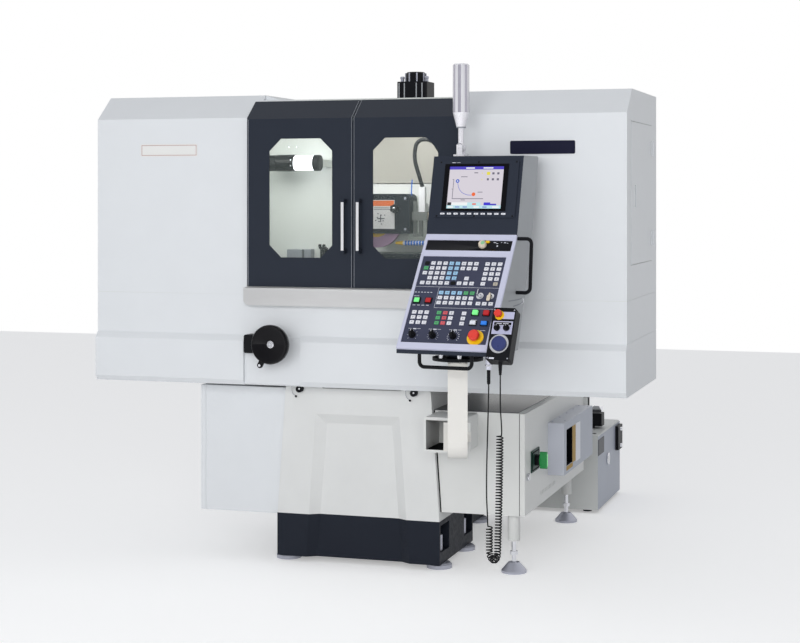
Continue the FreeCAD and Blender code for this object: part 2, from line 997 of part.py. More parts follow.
def make_casing_left():
    shell = slab_yz(casing_profile(0, seam_high), -casing_half, entry_left)
    room = slab_yz(casing_profile(sheet, seam_high - overrun), -casing_half + sheet,
                   entry_left + overrun)
    shell = carve(shell, [room, seam_ring(seam_high, -casing_half, casing_half)])
    return group([shell, badge(badge_left_start)])


def side_door_frame(grow):
    return block(casing_half - sheet - overrun, casing_half + overrun, side_door_front - grow,
                 side_door_back + grow, side_door_bottom - grow, side_door_top + grow)


def make_casing_right():
    shell = slab_yz(casing_profile(0, seam_high), entry_right, casing_half)
    room = slab_yz(casing_profile(sheet, seam_high - overrun), entry_right - overrun,
                   casing_half - sheet)
    shell = carve(shell, [room, side_door_frame(side_door_gap),
                          seam_ring(seam_high, -casing_half, casing_half)])
    x0, x1 = casing_half - side_door_thickness - sheet, casing_half - sheet
    frame = block(x0, x1, side_door_front - side_frame, side_door_back + side_frame,
                  side_door_bottom - side_frame, side_door_top + side_frame)
    hole = block(x0 - overrun, x1 + overrun, side_door_front - side_door_gap,
                 side_door_back + side_door_gap, side_door_bottom - side_door_gap,
                 side_door_top + side_door_gap)
    return group([join([shell, frame.cut(hole)]), badge(badge_right_start)])


def side_hinge_line():
    return casing_half + side_hinge_radius + door_clearance, side_door_back + side_door_gap / 2


def make_side_access_door():
    x1 = casing_half + side_door_proud
    door = block(casing_half - side_door_thickness, x1, side_door_front, side_door_back,
                 side_door_bottom, side_door_top)
    room = block(casing_half - side_door_thickness - overrun, x1 - sheet, side_door_front + sheet,
                 side_door_back - sheet, side_door_bottom + sheet, side_door_top - sheet)
    door = door.cut(room)
    door = soften(door, side_door_proud, (0, 0, 1), lambda p: p.x > casing_half)
    y0 = side_handle_y - side_handle_width / 2
    cup = block(x1 - sheet - side_handle_depth, x1, y0, y0 + side_handle_width,
                side_handle_bottom, side_handle_top)
    pocket = block(x1 - side_handle_depth, x1 + overrun, y0 + sheet, y0 + side_handle_width - sheet,
                   side_handle_bottom + sheet, side_handle_top - sheet)
    hinge_x, hinge_y = side_hinge_line()
    barrels = []
    for z in (side_door_bottom + side_hinge_length, side_door_top - 2 * side_hinge_length):
        barrels.append(round_bar(side_hinge_radius, (hinge_x, hinge_y, z), (0, 0, 1),
                                 side_hinge_length))
        barrels.append(block(x1 - sheet, hinge_x, side_door_back - side_hinge_length / 3, hinge_y,
                             z, z + side_hinge_length))
    return join([door, cup] + barrels).cut(pocket)


def make_lower_casing():
    # Middle band and bottom skirt of the enclosure, with the raised front panels.
    x = casing_half
    shell = block(-x, x, 0, casing_depth, casing_bottom, seam_high)
    room = block(-x + sheet, x - sheet, sheet, casing_depth - sheet, casing_bottom + sheet,
                 seam_high + overrun)
    gap = bottom_opening_margin
    hole = block(-bed_half - gap, bed_half + gap, base_front, casing_depth - sheet,
                 casing_bottom - overrun, casing_bottom + sheet + overrun)
    front_hole = slab_xz(base_outline(casing_bottom - overrun, casing_bottom + sheet + overrun,
                                      door_clearance), base_front - door_clearance,
                         base_front + overrun)
    rear_hole = block(-column_cover_half, column_cover_half, casing_depth - sheet - overrun,
                      casing_depth + overrun, casing_bottom - overrun, seam_high + overrun)
    lintel = block(entry_left, entry_right, 0, sheet, seam_high, door_bottom - sheet)
    shell = carve(shell, [room, hole, front_hole, rear_hole, seam_ring(seam_low, -x, x)])
    raised = [(0, seam_low - seam_width), (-panel_proud, seam_low - seam_width - panel_bevel_top),
              (-panel_proud, casing_bottom + panel_bevel_bottom),
              (-recess_panel_proud, casing_bottom), (0, casing_bottom)]
    low_panel = [(0, seam_low - seam_width - recess_panel_proud),
                 (-recess_panel_proud, seam_low - seam_width - 2 * recess_panel_proud),
                 (-recess_panel_proud, casing_bottom + recess_panel_proud),
                 (0, casing_bottom)]
    left_panel = slab_yz(raised, -x, panel_left_end)
    right_panel = slab_yz(raised, panel_right_start, x)
    middle = slab_yz(low_panel, panel_left_end, panel_right_start)
    return join([shell, lintel, left_panel, right_panel, middle])


def fold_point(inset, z):
    # Place on the sloped fold's outer or inner face at a height.
    (y0, z0), (y1, z1) = casing_profile(inset, seam_high)[1:3]
    return y0 + (z - z0) / (z1 - z0) * (y1 - y0), z


def make_rear_casing():
    # Lower roof over the doors, its ramp and end cheeks, the back wall and the column's cover.
    roof, low = middle_roof, middle_roof - sheet
    run = fold_back / fold_rise
    lip = fold_point(0, fold_height + door_top_back / run)
    lip_inner = fold_point(sheet, lip[1] - sheet)
    shell = slab_yz([lip, fold_point(0, roof), (casing_depth, roof), (casing_depth, low),
                     fold_point(sheet, low), lip_inner], entry_left, entry_right)
    cheek = [fold_point(0, low), fold_point(0, roof_height), (casing_depth, roof_height),
             (casing_depth, low)]
    cheeks = [slab_yz(cheek, x, x + sheet) for x in (entry_left, entry_right - sheet)]
    ramp_end = entry_left + roof_ramp
    ramp = slab_xz([(entry_left, roof_height), (ramp_end, roof), (ramp_end, low),
                    (entry_left, roof_height - sheet)], fold_back, casing_depth)
    gusset = slab_xz([(entry_left, roof_height), (ramp_end, roof), (ramp_end, low),
                      (entry_left, low)], fold_back, fold_back + sheet)
    wall = block(entry_left, entry_right, casing_depth - sheet, casing_depth, seam_high, low)
    opening = block(-wall_opening_half, wall_opening_half, casing_depth - sheet - overrun,
                    casing_depth + overrun, casing_bottom, low - frame_drop)
    half = column_cover_half
    cover = block(-half, half, casing_depth, column_cover_back, column_bottom, roof)
    room = block(-half + sheet, half - sheet, casing_depth - overrun, column_cover_back - sheet,
                 column_bottom - overrun, low)
    motor_hole = block(-motor_width / 2 - sheet, motor_width / 2 + sheet,
                       motor_y - motor_width / 2 - sheet, motor_y + motor_width / 2 + sheet,
                       low - overrun, roof + overrun)
    body = join([shell, ramp, gusset, wall.cut(opening), cover.cut(room)] + cheeks)
    return body.cut(motor_hole)


def make_door_sill():
    # Stainless trough under the doors, with the lower guide rail.
    outline = [(sill_left, sill_bottom), (sill_right, sill_bottom), (sill_right, sill_top),
               (sill_left, sill_top)]
    body = slab_xz(outline, sill_front, 0)
    body = soften(body, sill_corner, (0, 1, 0), lambda p: p.z < sill_bottom + 1e-3)
    room = slab_xz([(sill_left + sill_thickness, sill_bottom + sill_thickness),
                    (sill_right - sill_thickness, sill_bottom + sill_thickness),
                    (sill_right - sill_thickness, sill_top + overrun),
                    (sill_left + sill_thickness, sill_top + overrun)],
                   sill_front + sill_thickness, -sill_thickness)
    room = soften(room, sill_corner - sill_thickness, (0, 1, 0),
                  lambda p: p.z < sill_bottom + sill_corner)
    middle = (door_front + door_back) / 2
    rail = block(sill_left + sill_thickness, sill_right - sill_thickness,
                 middle - rail_thickness / 2, middle + rail_thickness / 2,
                 sill_bottom + sill_thickness, door_bottom + groove_depth - runner_gap)
    return join([body.cut(room), rail])


def make_drip_tray():
    x = casing_half - tray_margin
    y0, y1 = tray_margin, casing_depth - tray_margin
    tray = block(-x, x, y0, y1, tray_bottom, tray_rim)
    room = block(-x + tray_sheet, x - tray_sheet, y0 + tray_sheet, y1 - tray_sheet,
                 tray_bottom + tray_sheet, tray_rim + overrun)
    gap = bottom_opening_margin
    hole = block(-bed_half - gap, bed_half + gap, y0 + 2 * tray_sheet, bed_back - tray_margin,
                 tray_bottom - overrun, tray_bottom + 2 * overrun)
    legs = []
    for side in (-1, 1):
        for y in (y0 + tray_margin, y1 - 2 * tray_margin):
            legs.append(block(side * (x - 2 * tray_margin) - tray_margin / 2,
                              side * (x - 2 * tray_margin) + tray_margin / 2, y, y + tray_margin,
                              casing_bottom + sheet, tray_bottom))
    return join([carve(tray, [room, hole])] + legs)


def make_work_lamp():
    tube = round_bar(lamp_radius - sheet, (lamp_left, lamp_y, lamp_z), (1, 0, 0),
                     lamp_right - lamp_left)
    caps = [round_bar(lamp_radius, (lamp_left - lamp_cap, lamp_y, lamp_z), (1, 0, 0), lamp_cap),
            round_bar(lamp_radius, (lamp_right, lamp_y, lamp_z), (1, 0, 0), lamp_foot)]
    caps = [cap.makeChamfer(sheet, [e for e in cap.Edges if e.Curve.TypeId == "Part::GeomCircle"])
            for cap in caps]
    wall = casing_depth - sheet
    feet = [block(x - lamp_foot / 2, x + lamp_foot / 2, lamp_y, wall, lamp_z - lamp_foot / 2,
                  lamp_z + lamp_foot / 2)
            for x in (lamp_left - lamp_cap / 2, lamp_right + lamp_foot / 2)]
    return join([tube] + caps + feet)


def octagon(x0, x1, z0, z1, cut):
    return [(x0 + cut, z0), (x1 - cut, z0), (x1, z0 + cut), (x1, z1 - cut), (x1 - cut, z1),
            (x0 + cut, z1), (x0, z1 - cut), (x0, z0 + cut)]


def door_slope(offset):
    # Line of the door's folded top, parallel to the casing's fold.
    run, rise = door_top_back - door_front, door_top - door_fold
    length = math.hypot(run, rise)
    shift = offset * (length - rise) / run
    back = (offset * rise / length, -offset * run / length)
    return [(door_front + offset, door_fold - shift), (door_top_back + back[0], door_top + back[1])]


def make_door(x0, x1, window_start, window_end, handle_x):
    outer, inner = door_slope(0), door_slope(door_skin)
    skin = slab_yz([(door_front, door_bottom), outer[0], outer[1], inner[1], inner[0],
                    (door_front + door_skin, door_bottom)], x0, x1)
    rim_top = door_slope(door_back - door_front)[0][1] - door_skin
    slab_body = block(x0, x1, door_front + door_skin, door_back, door_bottom, rim_top)
    pocket = block(x0 + door_rim, x1 - door_rim, door_front + door_skin, door_back + overrun,
                   door_bottom + door_rim, rim_top - door_rim)
    ring = slab_xz(octagon(window_start - door_rim, window_end + door_rim, window_bottom - door_rim,
                           window_top + door_rim, window_cut), door_front + door_skin, door_back)
    body = join([skin, slab_body.cut(pocket), ring])
    hole = slab_xz(octagon(window_start, window_end, window_bottom, window_top, window_cut),
                   door_front - overrun, door_back + overrun)
    seat = slab_xz(octagon(window_start - pane_lap, window_end + pane_lap, window_bottom - pane_lap,
                           window_top + pane_lap, window_cut),
                   door_front + pane_setback, door_back + overrun)
    middle = (door_front + door_back) / 2
    guide = block(x0 - overrun, x1 + overrun, middle - rail_thickness / 2 - runner_gap,
                  middle + rail_thickness / 2 + runner_gap, door_bottom - overrun,
                  door_bottom + groove_depth)
    body = carve(body, [hole, seat, guide])
    inset = door_corner_radius if handle_x > (x0 + x1) / 2 else -door_corner_radius
    outer_x = x0 if inset > 0 else x1
    corner = block(min(outer_x, outer_x + inset), max(outer_x, outer_x + inset),
                   door_front, door_front + door_corner_radius, door_bottom, door_top)
    round_edge = round_bar(door_corner_radius, (outer_x + inset, door_front + door_corner_radius,
                                                door_bottom), (0, 0, 1), door_top - door_bottom)
    return group([body.cut(corner.cut(round_edge)), make_handle(handle_x)])


def make_handle(x):
    front = door_front - handle_reach
    bar = block(x - handle_width / 2, x + handle_width / 2, front, front + handle_thickness,
                handle_bottom, handle_top)
    bar = soften(bar, handle_thickness / 3, (0, 0, 1), everywhere)
    posts = [block(x - handle_width / 2, x + handle_width / 2, front + handle_thickness / 2,
                   door_front, z, z + handle_post)
             for z in (handle_bottom, handle_top - handle_post)]
    return join([bar] + posts)


def make_pane(window_start, window_end):
    lap = pane_lap - runner_gap
    front = door_front + pane_setback
    return slab_xz(octagon(window_start - lap, window_end + lap, window_bottom - lap,
                           window_top + lap, window_cut), front, front + pane_thickness)


def make_column_casting():
    body = block(-column_half, column_half, column_front, column_back, column_bottom, column_top)
    room = block(-column_half + column_wall, column_half - column_wall,
                 column_front + channel_depth + column_wall, column_back - column_wall,
                 column_bottom - overrun, column_top - column_wall)
    channel = block(-channel_half, channel_half, column_front - overrun,
                    column_front + channel_depth, guide_bottom, column_top - column_wall)
    guides = [block(side * guide_x - guide_width / 2, side * guide_x + guide_width / 2,
                    column_front - guide_depth, column_front, guide_bottom,
                    column_top - column_wall) for side in (-1, 1)]
    bores = [round_bar(screw_end_radius + running_gap, (0, motor_y, z), (0, 0, 1), column_wall
                       + 2 * overrun)
             for z in (guide_bottom - column_wall - overrun, column_top - column_wall - overrun)]
    body = carve(body, [room, channel] + bores)
    body = soften(body, column_wall / 2, (0, 0, 1), lambda p: p.y > column_back - 1e-3)
    return join([body] + guides)


def make_z_motor():
    half, z = motor_width / 2, column_top
    body = block(-half, half, motor_y - half, motor_y + half, z, z + motor_body_height)
    body = soften(body, motor_chamfer, (0, 0, 1), everywhere)
    cap = round_bar(motor_cap_radius, (0, motor_y, z + motor_body_height), (0, 0, 1),
                    motor_cap_height)
    cap = cap.makeChamfer(motor_cap_bevel, [cap.Edges[0]])
    bore = round_bar(screw_end_radius + running_gap, (0, motor_y, column_top - overrun), (0, 0, 1),
                     screw_journal + overrun)
    return join([body, cap]).cut(bore)


def make_head_screw():
    low, high = guide_bottom, column_top - column_wall
    screw = round_bar(screw_radius, (0, motor_y, low + door_clearance), (0, 0, 1),
                      high - low - 2 * door_clearance)
    ends = [round_bar(screw_end_radius, (0, motor_y, low - column_wall + door_clearance), (0, 0, 1),
                      column_wall),
            round_bar(screw_end_radius, (0, motor_y, high - door_clearance), (0, 0, 1),
                      column_wall + screw_journal)]
    return join([screw] + ends)


def make_way_cover_upper():
    # Telescopic steel cover over the upper guideways; each lower plate stands in front of the last.
    low, high = carriage_top + cover_gap, middle_roof - sheet
    pitch = (high - low) * cover_plate_share
    back = column_front - guide_depth - door_clearance
    plates = []
    for i in range(cover_steps):
        bottom = low + (cover_steps - 1 - i) * pitch
        top = high if i == 0 else bottom + pitch
        y0 = back - cover_thickness - i * cover_step
        y1 = y0 + cover_thickness if i == 0 else y0 + cover_thickness + cover_step
        plates.append(block(-cover_half, cover_half, y0, y0 + cover_thickness, bottom, top))
        plates.append(block(-cover_half, cover_half, y0, y1, top - cover_lip, top))
    flanges = [block(x, x + cover_half - wall_opening_half, back - cover_thickness,
                     casing_depth - sheet, low + (cover_steps - 1) * pitch, high)
               for x in (-cover_half, wall_opening_half)]
    return join(plates + flanges)


def make_way_cover_lower():
    # Shield that hangs under the head's carriage and rides with it.
    y0 = head_back
    high = carriage_bottom
    plate = block(-carriage_half, carriage_half, y0, y0 + cover_thickness,
                  high - lower_cover_height, high)
    lip = block(-carriage_half, carriage_half, y0, y0 + carriage_thickness, high - cover_thickness,
                high)
    return join([plate, lip])


def make_spindle_head():
    section = [(wheel_x - head_half, head_bottom), (wheel_x + head_half, head_bottom),
               (wheel_x + head_half, head_top - head_chamfer),
               (wheel_x + head_half - head_chamfer, head_top),
               (wheel_x - head_half + head_chamfer, head_top),
               (wheel_x - head_half, head_top - head_chamfer)]
    housing = slab_xz(section, head_front, head_back)
    nose = round_bar(nose_radius, (wheel_x, guard_back, wheel_z), (0, 1, 0), head_front - guard_back)
    carriage = block(-carriage_half, carriage_half, head_back, head_back + carriage_thickness,
                     carriage_bottom, carriage_top)
    blocks = []
    depth = column_front - guide_depth
    for side in (-1, 1):
        for z in (carriage_bottom, carriage_top - runner_length):
            outer = block(side * guide_x - guide_width / 2 - runner_wall,
                          side * guide_x + guide_width / 2 + runner_wall,
                          head_back + carriage_thickness, column_front - runner_top_gap,
                          z, z + runner_length)
            groove = block(side * guide_x - guide_width / 2 - runner_gap,
                           side * guide_x + guide_width / 2 + runner_gap,
                           depth - runner_gap, column_front + overrun, z - overrun,
                           z + runner_length + overrun)
            blocks.append(outer.cut(groove))
    middle = (carriage_bottom + carriage_top) / 2
    arm = block(-nut_arm_half, nut_arm_half, head_back + carriage_thickness, motor_y,
                middle - nut_arm_half_height, middle + nut_arm_half_height)
    nut = round_bar(nut_outer_radius, (0, motor_y, middle - nut_arm_half_height), (0, 0, 1),
                    2 * nut_arm_half_height)
    bore = round_bar(screw_radius + nut_clearance, (0, motor_y,
                                                    middle - nut_arm_half_height - overrun),
                     (0, 0, 1), 2 * nut_arm_half_height + 2 * overrun)
    shaft_bore = round_bar(spindle_radius + running_gap, (wheel_x, guard_back - overrun, wheel_z),
                           (0, 1, 0), head_back - guard_back - carriage_thickness + overrun)
    body = join([housing, nose, carriage, arm, nut] + blocks)
    return carve(body, [bore, shaft_bore])


def make_wheel_guard():
    section = [(guard_left, guard_bottom), (guard_right, guard_bottom), (guard_right, guard_top),
               (guard_left, guard_top)]
    box = slab_xz(section, guard_front, guard_back)
    box = soften(box, guard_corner, (0, 1, 0), lambda p: p.z > guard_top - 1e-3)
    room = slab_xz([(guard_left + guard_wall, guard_bottom - overrun),
                    (guard_right - guard_wall, guard_bottom - overrun),
                    (guard_right - guard_wall, guard_top - guard_wall),
                    (guard_left + guard_wall, guard_top - guard_wall)],
                   guard_front + guard_wall, guard_back - guard_wall)
    room = soften(room, guard_corner - guard_wall, (0, 1, 0),
                  lambda p: p.z > guard_top - guard_wall - 1e-3)
    throat = round_bar(flange_radius + guard_wall, (wheel_x, guard_back - guard_wall - overrun,
                                                    wheel_z), (0, 1, 0), guard_wall + 2 * overrun)
    stem_hole = round_bar(knob_stem_radius + running_gap, (knob_x, guard_front - overrun, knob_z),
                          (0, 1, 0), guard_wall + 2 * overrun)
    hub_ring = round_bar(nose_radius + guard_wall, (wheel_x, guard_back - guard_wall, wheel_z),
                         (0, 1, 0), guard_wall)
    body = carve(join([box.cut(room), hub_ring]), [throat, stem_hole])
    y0 = guard_front - guard_plate_thickness
    plate = block(guard_plate_left, guard_plate_right, y0, guard_front, guard_plate_bottom,
                  guard_plate_top)
    return group([body, plate])


def make_guard_knob():
    back = guard_front - guard_plate_thickness
    grip = round_bar(knob_radius, (knob_x, back - knob_length, knob_z), (0, 1, 0), knob_length)
    flutes = []
    for i in range(6):
        angle = math.radians(60 * i)
        flutes.append(round_bar(knob_radius / 4, (knob_x + knob_radius * math.cos(angle) * 1.08,
                                                  back - knob_length - overrun,
                                                  knob_z + knob_radius * math.sin(angle) * 1.08),
                                (0, 1, 0), knob_length + 2 * overrun))
    stem = round_bar(knob_stem_radius, (knob_x, back, knob_z), (0, 1, 0),
                     guard_plate_thickness + guard_wall)
    return join([carve(grip, flutes), stem])


def make_coolant_nozzle():
    # Coolant manifold beside the guard: two bars, a clamp, the hose that feeds it and the nozzle.
    half = bar_width / 2
    bars = [block(x - half, x + half, bar_y - half, bar_y + half, bar_bottom, bar_top)
            for x in (bar_left_x, bar_right_x)]
    foot = block(guard_right, bar_right_x + half, bar_y - half, bar_y + half, bar_bottom,
                 bar_bottom + bar_width)
    clamp = block(guard_right, manifold_x + clamp_half, bar_y - clamp_half,
                  bar_y + half + sheet, clamp_bottom, clamp_top)
    clamp = soften(clamp, sheet, (0, 0, 1), everywhere)
    spout_y = bar_y - half
    column = block(manifold_x - manifold_half, manifold_x + manifold_half, spout_y - manifold_half,
                   spout_y + manifold_half, clamp_top, manifold_top)
    column = soften(column, sheet, (0, 0, 1), everywhere)
    drop = round_bar(nozzle_ball_radius, (nozzle_start_x, spout_y, nozzle_z), (0, 0, 1),
                     clamp_bottom - nozzle_z)
    ear = block(manifold_x + clamp_half, nozzle_start_x + nozzle_ball_radius, spout_y - half,
                spout_y + half, clamp_bottom, clamp_bottom + bar_width)
    beads = []
    for i in range(nozzle_segments):
        x = nozzle_start_x - i * nozzle_pitch
        beads.append(Part.makeSphere(nozzle_ball_radius, V(x, spout_y, nozzle_z)))
    core = round_bar(nozzle_ball_radius * nozzle_bore_share * 2,
                     (nozzle_start_x - nozzle_segments * nozzle_pitch, spout_y, nozzle_z),
                     (1, 0, 0), nozzle_segments * nozzle_pitch)
    tip_x = nozzle_start_x - nozzle_segments * nozzle_pitch
    tip = Part.makeCone(nozzle_ball_radius * nozzle_bore_share * 2, nozzle_tip_radius,
                        nozzle_tip_length, V(tip_x, spout_y, nozzle_z), V(-1, 0, 0))
    arms = join(bars + [foot, clamp, column, drop, ear])
    nozzle = join(beads + [core, tip])
    return group([join([arms, nozzle]), coolant_hose(spout_y)])


def coolant_hose(spout_y):
    # The hose leans in from the manifold, arches over and comes down to a fitting on the head's side.
    points = [(manifold_x, spout_y, manifold_top), (hose_side_x, spout_y, hose_side_z),
              (hose_crown_left, spout_y, hose_crown), (hose_crown_right, spout_y, hose_crown),
              (hose_back_x, hose_back_y, hose_side_z), (hose_back_x, hose_end_y, hose_drop),
              (wheel_x + head_half, hose_end_y, hose_drop)]
    return round_tube(points, hose_radius)


def rounded_path(points):
    # Straight runs joined by the largest tangent arcs that the runs allow.
    nodes = [V(*p) for p in points]
    edges, radii = [], []
    last = nodes[0]
    for before, here, after in zip(nodes, nodes[1:], nodes[2:]):
        inward, outward = here - before, after - here
        turn = inward.getAngle(outward)
        reach = 0.45 * min(inward.Length, outward.Length)
        radii.append(reach / math.tan(turn / 2))
        inward.normalize()
        outward.normalize()
        start, end = here - inward * reach, here + outward * reach
        bisector = (outward - inward).normalize()
        centre = here + bisector * (radii[-1] / math.cos(turn / 2))
        middle = centre - bisector * radii[-1]
        edges.append(Part.LineSegment(last, start).toShape())
        edges.append(Part.Arc(start, middle, end).toShape())
        last = end
    edges.append(Part.LineSegment(last, nodes[-1]).toShape())
    return Part.Wire(edges), radii


def pipe(path, start, direction, radius):
    ring = Part.Wire([Part.Circle(start, direction, radius).toShape()])
    sweep = Part.BRepOffsetAPI.MakePipeShell(path)
    sweep.add(ring)
    sweep.build()
    sweep.makeSolid()
    return sweep.shape()


def round_tube(points, radius):
    path, radii = rounded_path(points)
    start = V(*points[0])
    return pipe(path, start, V(*points[1]) - start, radius)


def make_spindle_shaft():
    y1 = head_back - 2 * carriage_thickness
    shaft = round_bar(spindle_radius, (wheel_x, guard_front + 4 * guard_wall, wheel_z), (0, 1, 0),
                      y1 - guard_front - 4 * guard_wall)
    front = wheel_y - wheel_width / 2
    flanges = [round_bar(flange_radius, (wheel_x, front - flange_width, wheel_z), (0, 1, 0),
                         flange_width),
               round_bar(flange_radius, (wheel_x, front + wheel_width, wheel_z), (0, 1, 0),
                         flange_width)]
    return join([shaft] + flanges)


def make_grinding_wheel():
    front = wheel_y - wheel_width / 2
    wheel = round_bar(wheel_radius, (wheel_x, front, wheel_z), (0, 1, 0), wheel_width)
    bore = round_bar(spindle_radius + running_gap, (wheel_x, front - overrun, wheel_z), (0, 1, 0),
                     wheel_width + 2 * overrun)
    return wheel.cut(bore)


def runner(centre_x, y0, z0, z1):
    # Runner block that straddles a cross rail on the bed.
    outer = block(centre_x - rail_width / 2 - runner_wall, centre_x + rail_width / 2 + runner_wall,
                  y0, y0 + runner_length, z0, z1)
    groove = block(centre_x - rail_width / 2 - runner_gap, centre_x + rail_width / 2 + runner_gap,
                   y0 - overrun, y0 + runner_length + overrun, z0 - overrun,
                   bed_top + rail_height + runner_top_gap)
    return outer.cut(groove)


def make_saddle():
    plate = block(-saddle_half, saddle_half, saddle_front, saddle_back, saddle_bottom, saddle_top)
    plate = soften(plate, runner_wall / 2, (0, 0, 1), everywhere)
    runners = [runner(side * rail_half_span, y, bed_top + runner_top_gap, saddle_bottom)
               for side in (-1, 1) for y in (saddle_front, saddle_back - runner_length)]
    tops = []
    for y in (table_rail_front, table_rail_back):
        for x in (table_runner_left, table_runner_right):
            outer = block(x, x + runner_length, y - rail_width / 2 - runner_wall / 2,
                          y + rail_width / 2 + runner_wall / 2, saddle_top,
                          table_bottom - runner_top_gap)
            groove = block(x - overrun, x + runner_length + overrun,
                           y - rail_width / 2 - runner_gap, y + rail_width / 2 + runner_gap,
                           table_bottom - rail_height - runner_top_gap, table_bottom)
            tops.append(outer.cut(groove))
    middle = (saddle_front + saddle_back) / 2
    nut = block(-nut_arm_half, nut_arm_half, middle - cross_nut_length / 2,
                middle + cross_nut_length / 2, cross_nut_bottom, saddle_bottom)
    bore = round_bar(screw_end_radius + nut_clearance, (0, saddle_front - overrun, cross_screw_z()),
                     (0, 1, 0), saddle_back - saddle_front + 2 * overrun)
    trench = block(-saddle_half - overrun, saddle_half + overrun,
                   (table_rail_front + table_rail_back) / 2 - screw_radius - 2 * overrun,
                   (table_rail_front + table_rail_back) / 2 + screw_radius + 2 * overrun,
                   table_screw_z() - screw_radius - overrun, saddle_top + overrun)
    posts = [block(x - screw_radius / 2, x + screw_radius / 2,
                   (table_rail_front + table_rail_back) / 2 - screw_radius - 2 * overrun,
                   (table_rail_front + table_rail_back) / 2 + screw_radius + 2 * overrun,
                   table_screw_z() - screw_radius - overrun, saddle_top + rail_height / 2)
             for x in (-saddle_half + screw_radius / 2, saddle_half - screw_radius / 2)]
    journal = round_bar(screw_end_radius + running_gap,
                        (-saddle_half - overrun, (table_rail_front + table_rail_back) / 2,
                         table_screw_z()), (1, 0, 0), 2 * saddle_half + 2 * overrun)
    body = carve(join([plate] + runners + tops + [nut]), [bore, trench])
    return join([body] + posts).cut(journal)


def cross_screw_z():
    return bed_top + cross_screw_height


def table_screw_z():
    return saddle_top


def make_saddle_screw():
    y0, y1 = bed_front + overrun, way_back
    return round_bar(screw_end_radius, (0, y0, cross_screw_z()), (0, 1, 0), y1 - y0)


def make_table_screw():
    y = (table_rail_front + table_rail_back) / 2
    body = round_bar(screw_radius - sheet, (-saddle_half + screw_radius + door_clearance, y,
                                            table_screw_z()), (1, 0, 0),
                     2 * (saddle_half - screw_radius - door_clearance))
    ends = round_bar(screw_end_radius, (-saddle_half, y, table_screw_z()), (1, 0, 0),
                     2 * saddle_half)
    return join([body, ends])


def make_table():
    body = block(table_left, table_right, table_front, table_back, table_bottom, table_top)
    gutters = [block(table_left + table_gutter, table_right - table_gutter, y, y + table_gutter / 2,
                     table_top - table_gutter_depth, table_top + overrun)
               for y in (table_front - overrun / 2 + sheet, table_back - table_gutter / 2 - sheet
                         + overrun / 2)]
    rails = [block(table_left + overrun, table_right - overrun, y - rail_width / 2,
                   y + rail_width / 2, table_bottom - rail_height, table_bottom)
             for y in (table_rail_front, table_rail_back)]
    middle = (table_rail_front + table_rail_back) / 2
    nut = block(chuck_centre_x - nut_arm_half / 2, chuck_centre_x + nut_arm_half / 2,
                middle - screw_radius, middle + screw_radius,
                table_screw_z() + screw_end_radius + sheet + door_clearance, table_bottom)
    return join([carve(body, gutters), nut] + rails)


def make_magnetic_chuck():
    x0 = chuck_centre_x - chuck_length / 2
    body = block(x0, x0 + chuck_length, chuck_front, chuck_back, table_top, chuck_top)
    body = soften(body, sheet, (0, 0, 1), everywhere)
    pitch = chuck_length / (chuck_pole_count + 1)
    poles = [block(x0 + (i + 1) * pitch - chuck_pole_width / 2,
                   x0 + (i + 1) * pitch + chuck_pole_width / 2, chuck_front + table_gutter,
                   chuck_back - table_gutter, chuck_top - chuck_pole_depth, chuck_top + overrun)
             for i in range(chuck_pole_count)]
    return carve(body, poles)


def make_handwheel_bracket():
    body = block(block_left, block_right, block_front, -recess_panel_proud, block_bottom, block_top)
    body = soften(body, block_corner, (0, 1, 0), everywhere)
    bore = round_bar(shaft_radius + running_gap, (wheel_centre_x, block_front - overrun,
                                                  wheel_centre_z), (0, 1, 0),
                     overrun - block_front / 2)
    return body.cut(bore)


def make_handwheel():
    # Dished solid wheel with a hub, a shaft and the folded crank's lug beyond the rim.
    back, depth, rim = hand_back, hand_depth, hand_rim
    profile = [(0, back), (hub_radius, back), (hand_radius - rim, back - depth / 3),
               (hand_radius, back - depth / 3), (hand_radius, back - depth * 0.8),
               (hand_radius - rim / 2, back - depth), (hand_radius - rim, back - depth * 0.9),
               (hub_radius, back - depth / 2), (0, back - depth / 2)]
    wire = Part.makePolygon([V(r, y, 0) for r, y in profile] + [V(profile[0][0], profile[0][1], 0)])
    dish = Part.Face(wire).revolve(V(0, 0, 0), V(0, 1, 0), 360)
    hub = round_bar(hub_radius, (0, back, 0), (0, 1, 0), block_front - back - door_clearance)
    shaft = round_bar(shaft_radius, (0, block_front - door_clearance, 0), (0, 1, 0), hub_length)
    angle = math.radians(crank_angle)
    lug_x, lug_z = crank_radius * math.cos(angle), crank_radius * math.sin(angle)
    y0 = back - depth / 3 - crank_thickness
    lug = round_bar(crank_lug_radius, (lug_x, y0, lug_z), (0, 1, 0), crank_thickness)
    side = (-math.sin(angle) * crank_lug_radius, math.cos(angle) * crank_lug_radius)
    root = hand_radius - 2 * rim
    base_x, base_z = root * math.cos(angle), root * math.sin(angle)
    arm = slab_xz([(base_x + side[0], base_z + side[1]), (lug_x + side[0], lug_z + side[1]),
                   (lug_x - side[0], lug_z - side[1]), (base_x - side[0], base_z - side[1])],
                  y0, y0 + crank_thickness)
    pin = round_bar(crank_pin_radius, (lug_x, y0 - crank_pin_length / 3, lug_z), (0, 1, 0),
                    crank_thickness + crank_pin_length)
    wheel = join([dish, hub, shaft, lug, arm, pin])
    wheel.translate(V(wheel_centre_x, 0, wheel_centre_z))
    return wheel


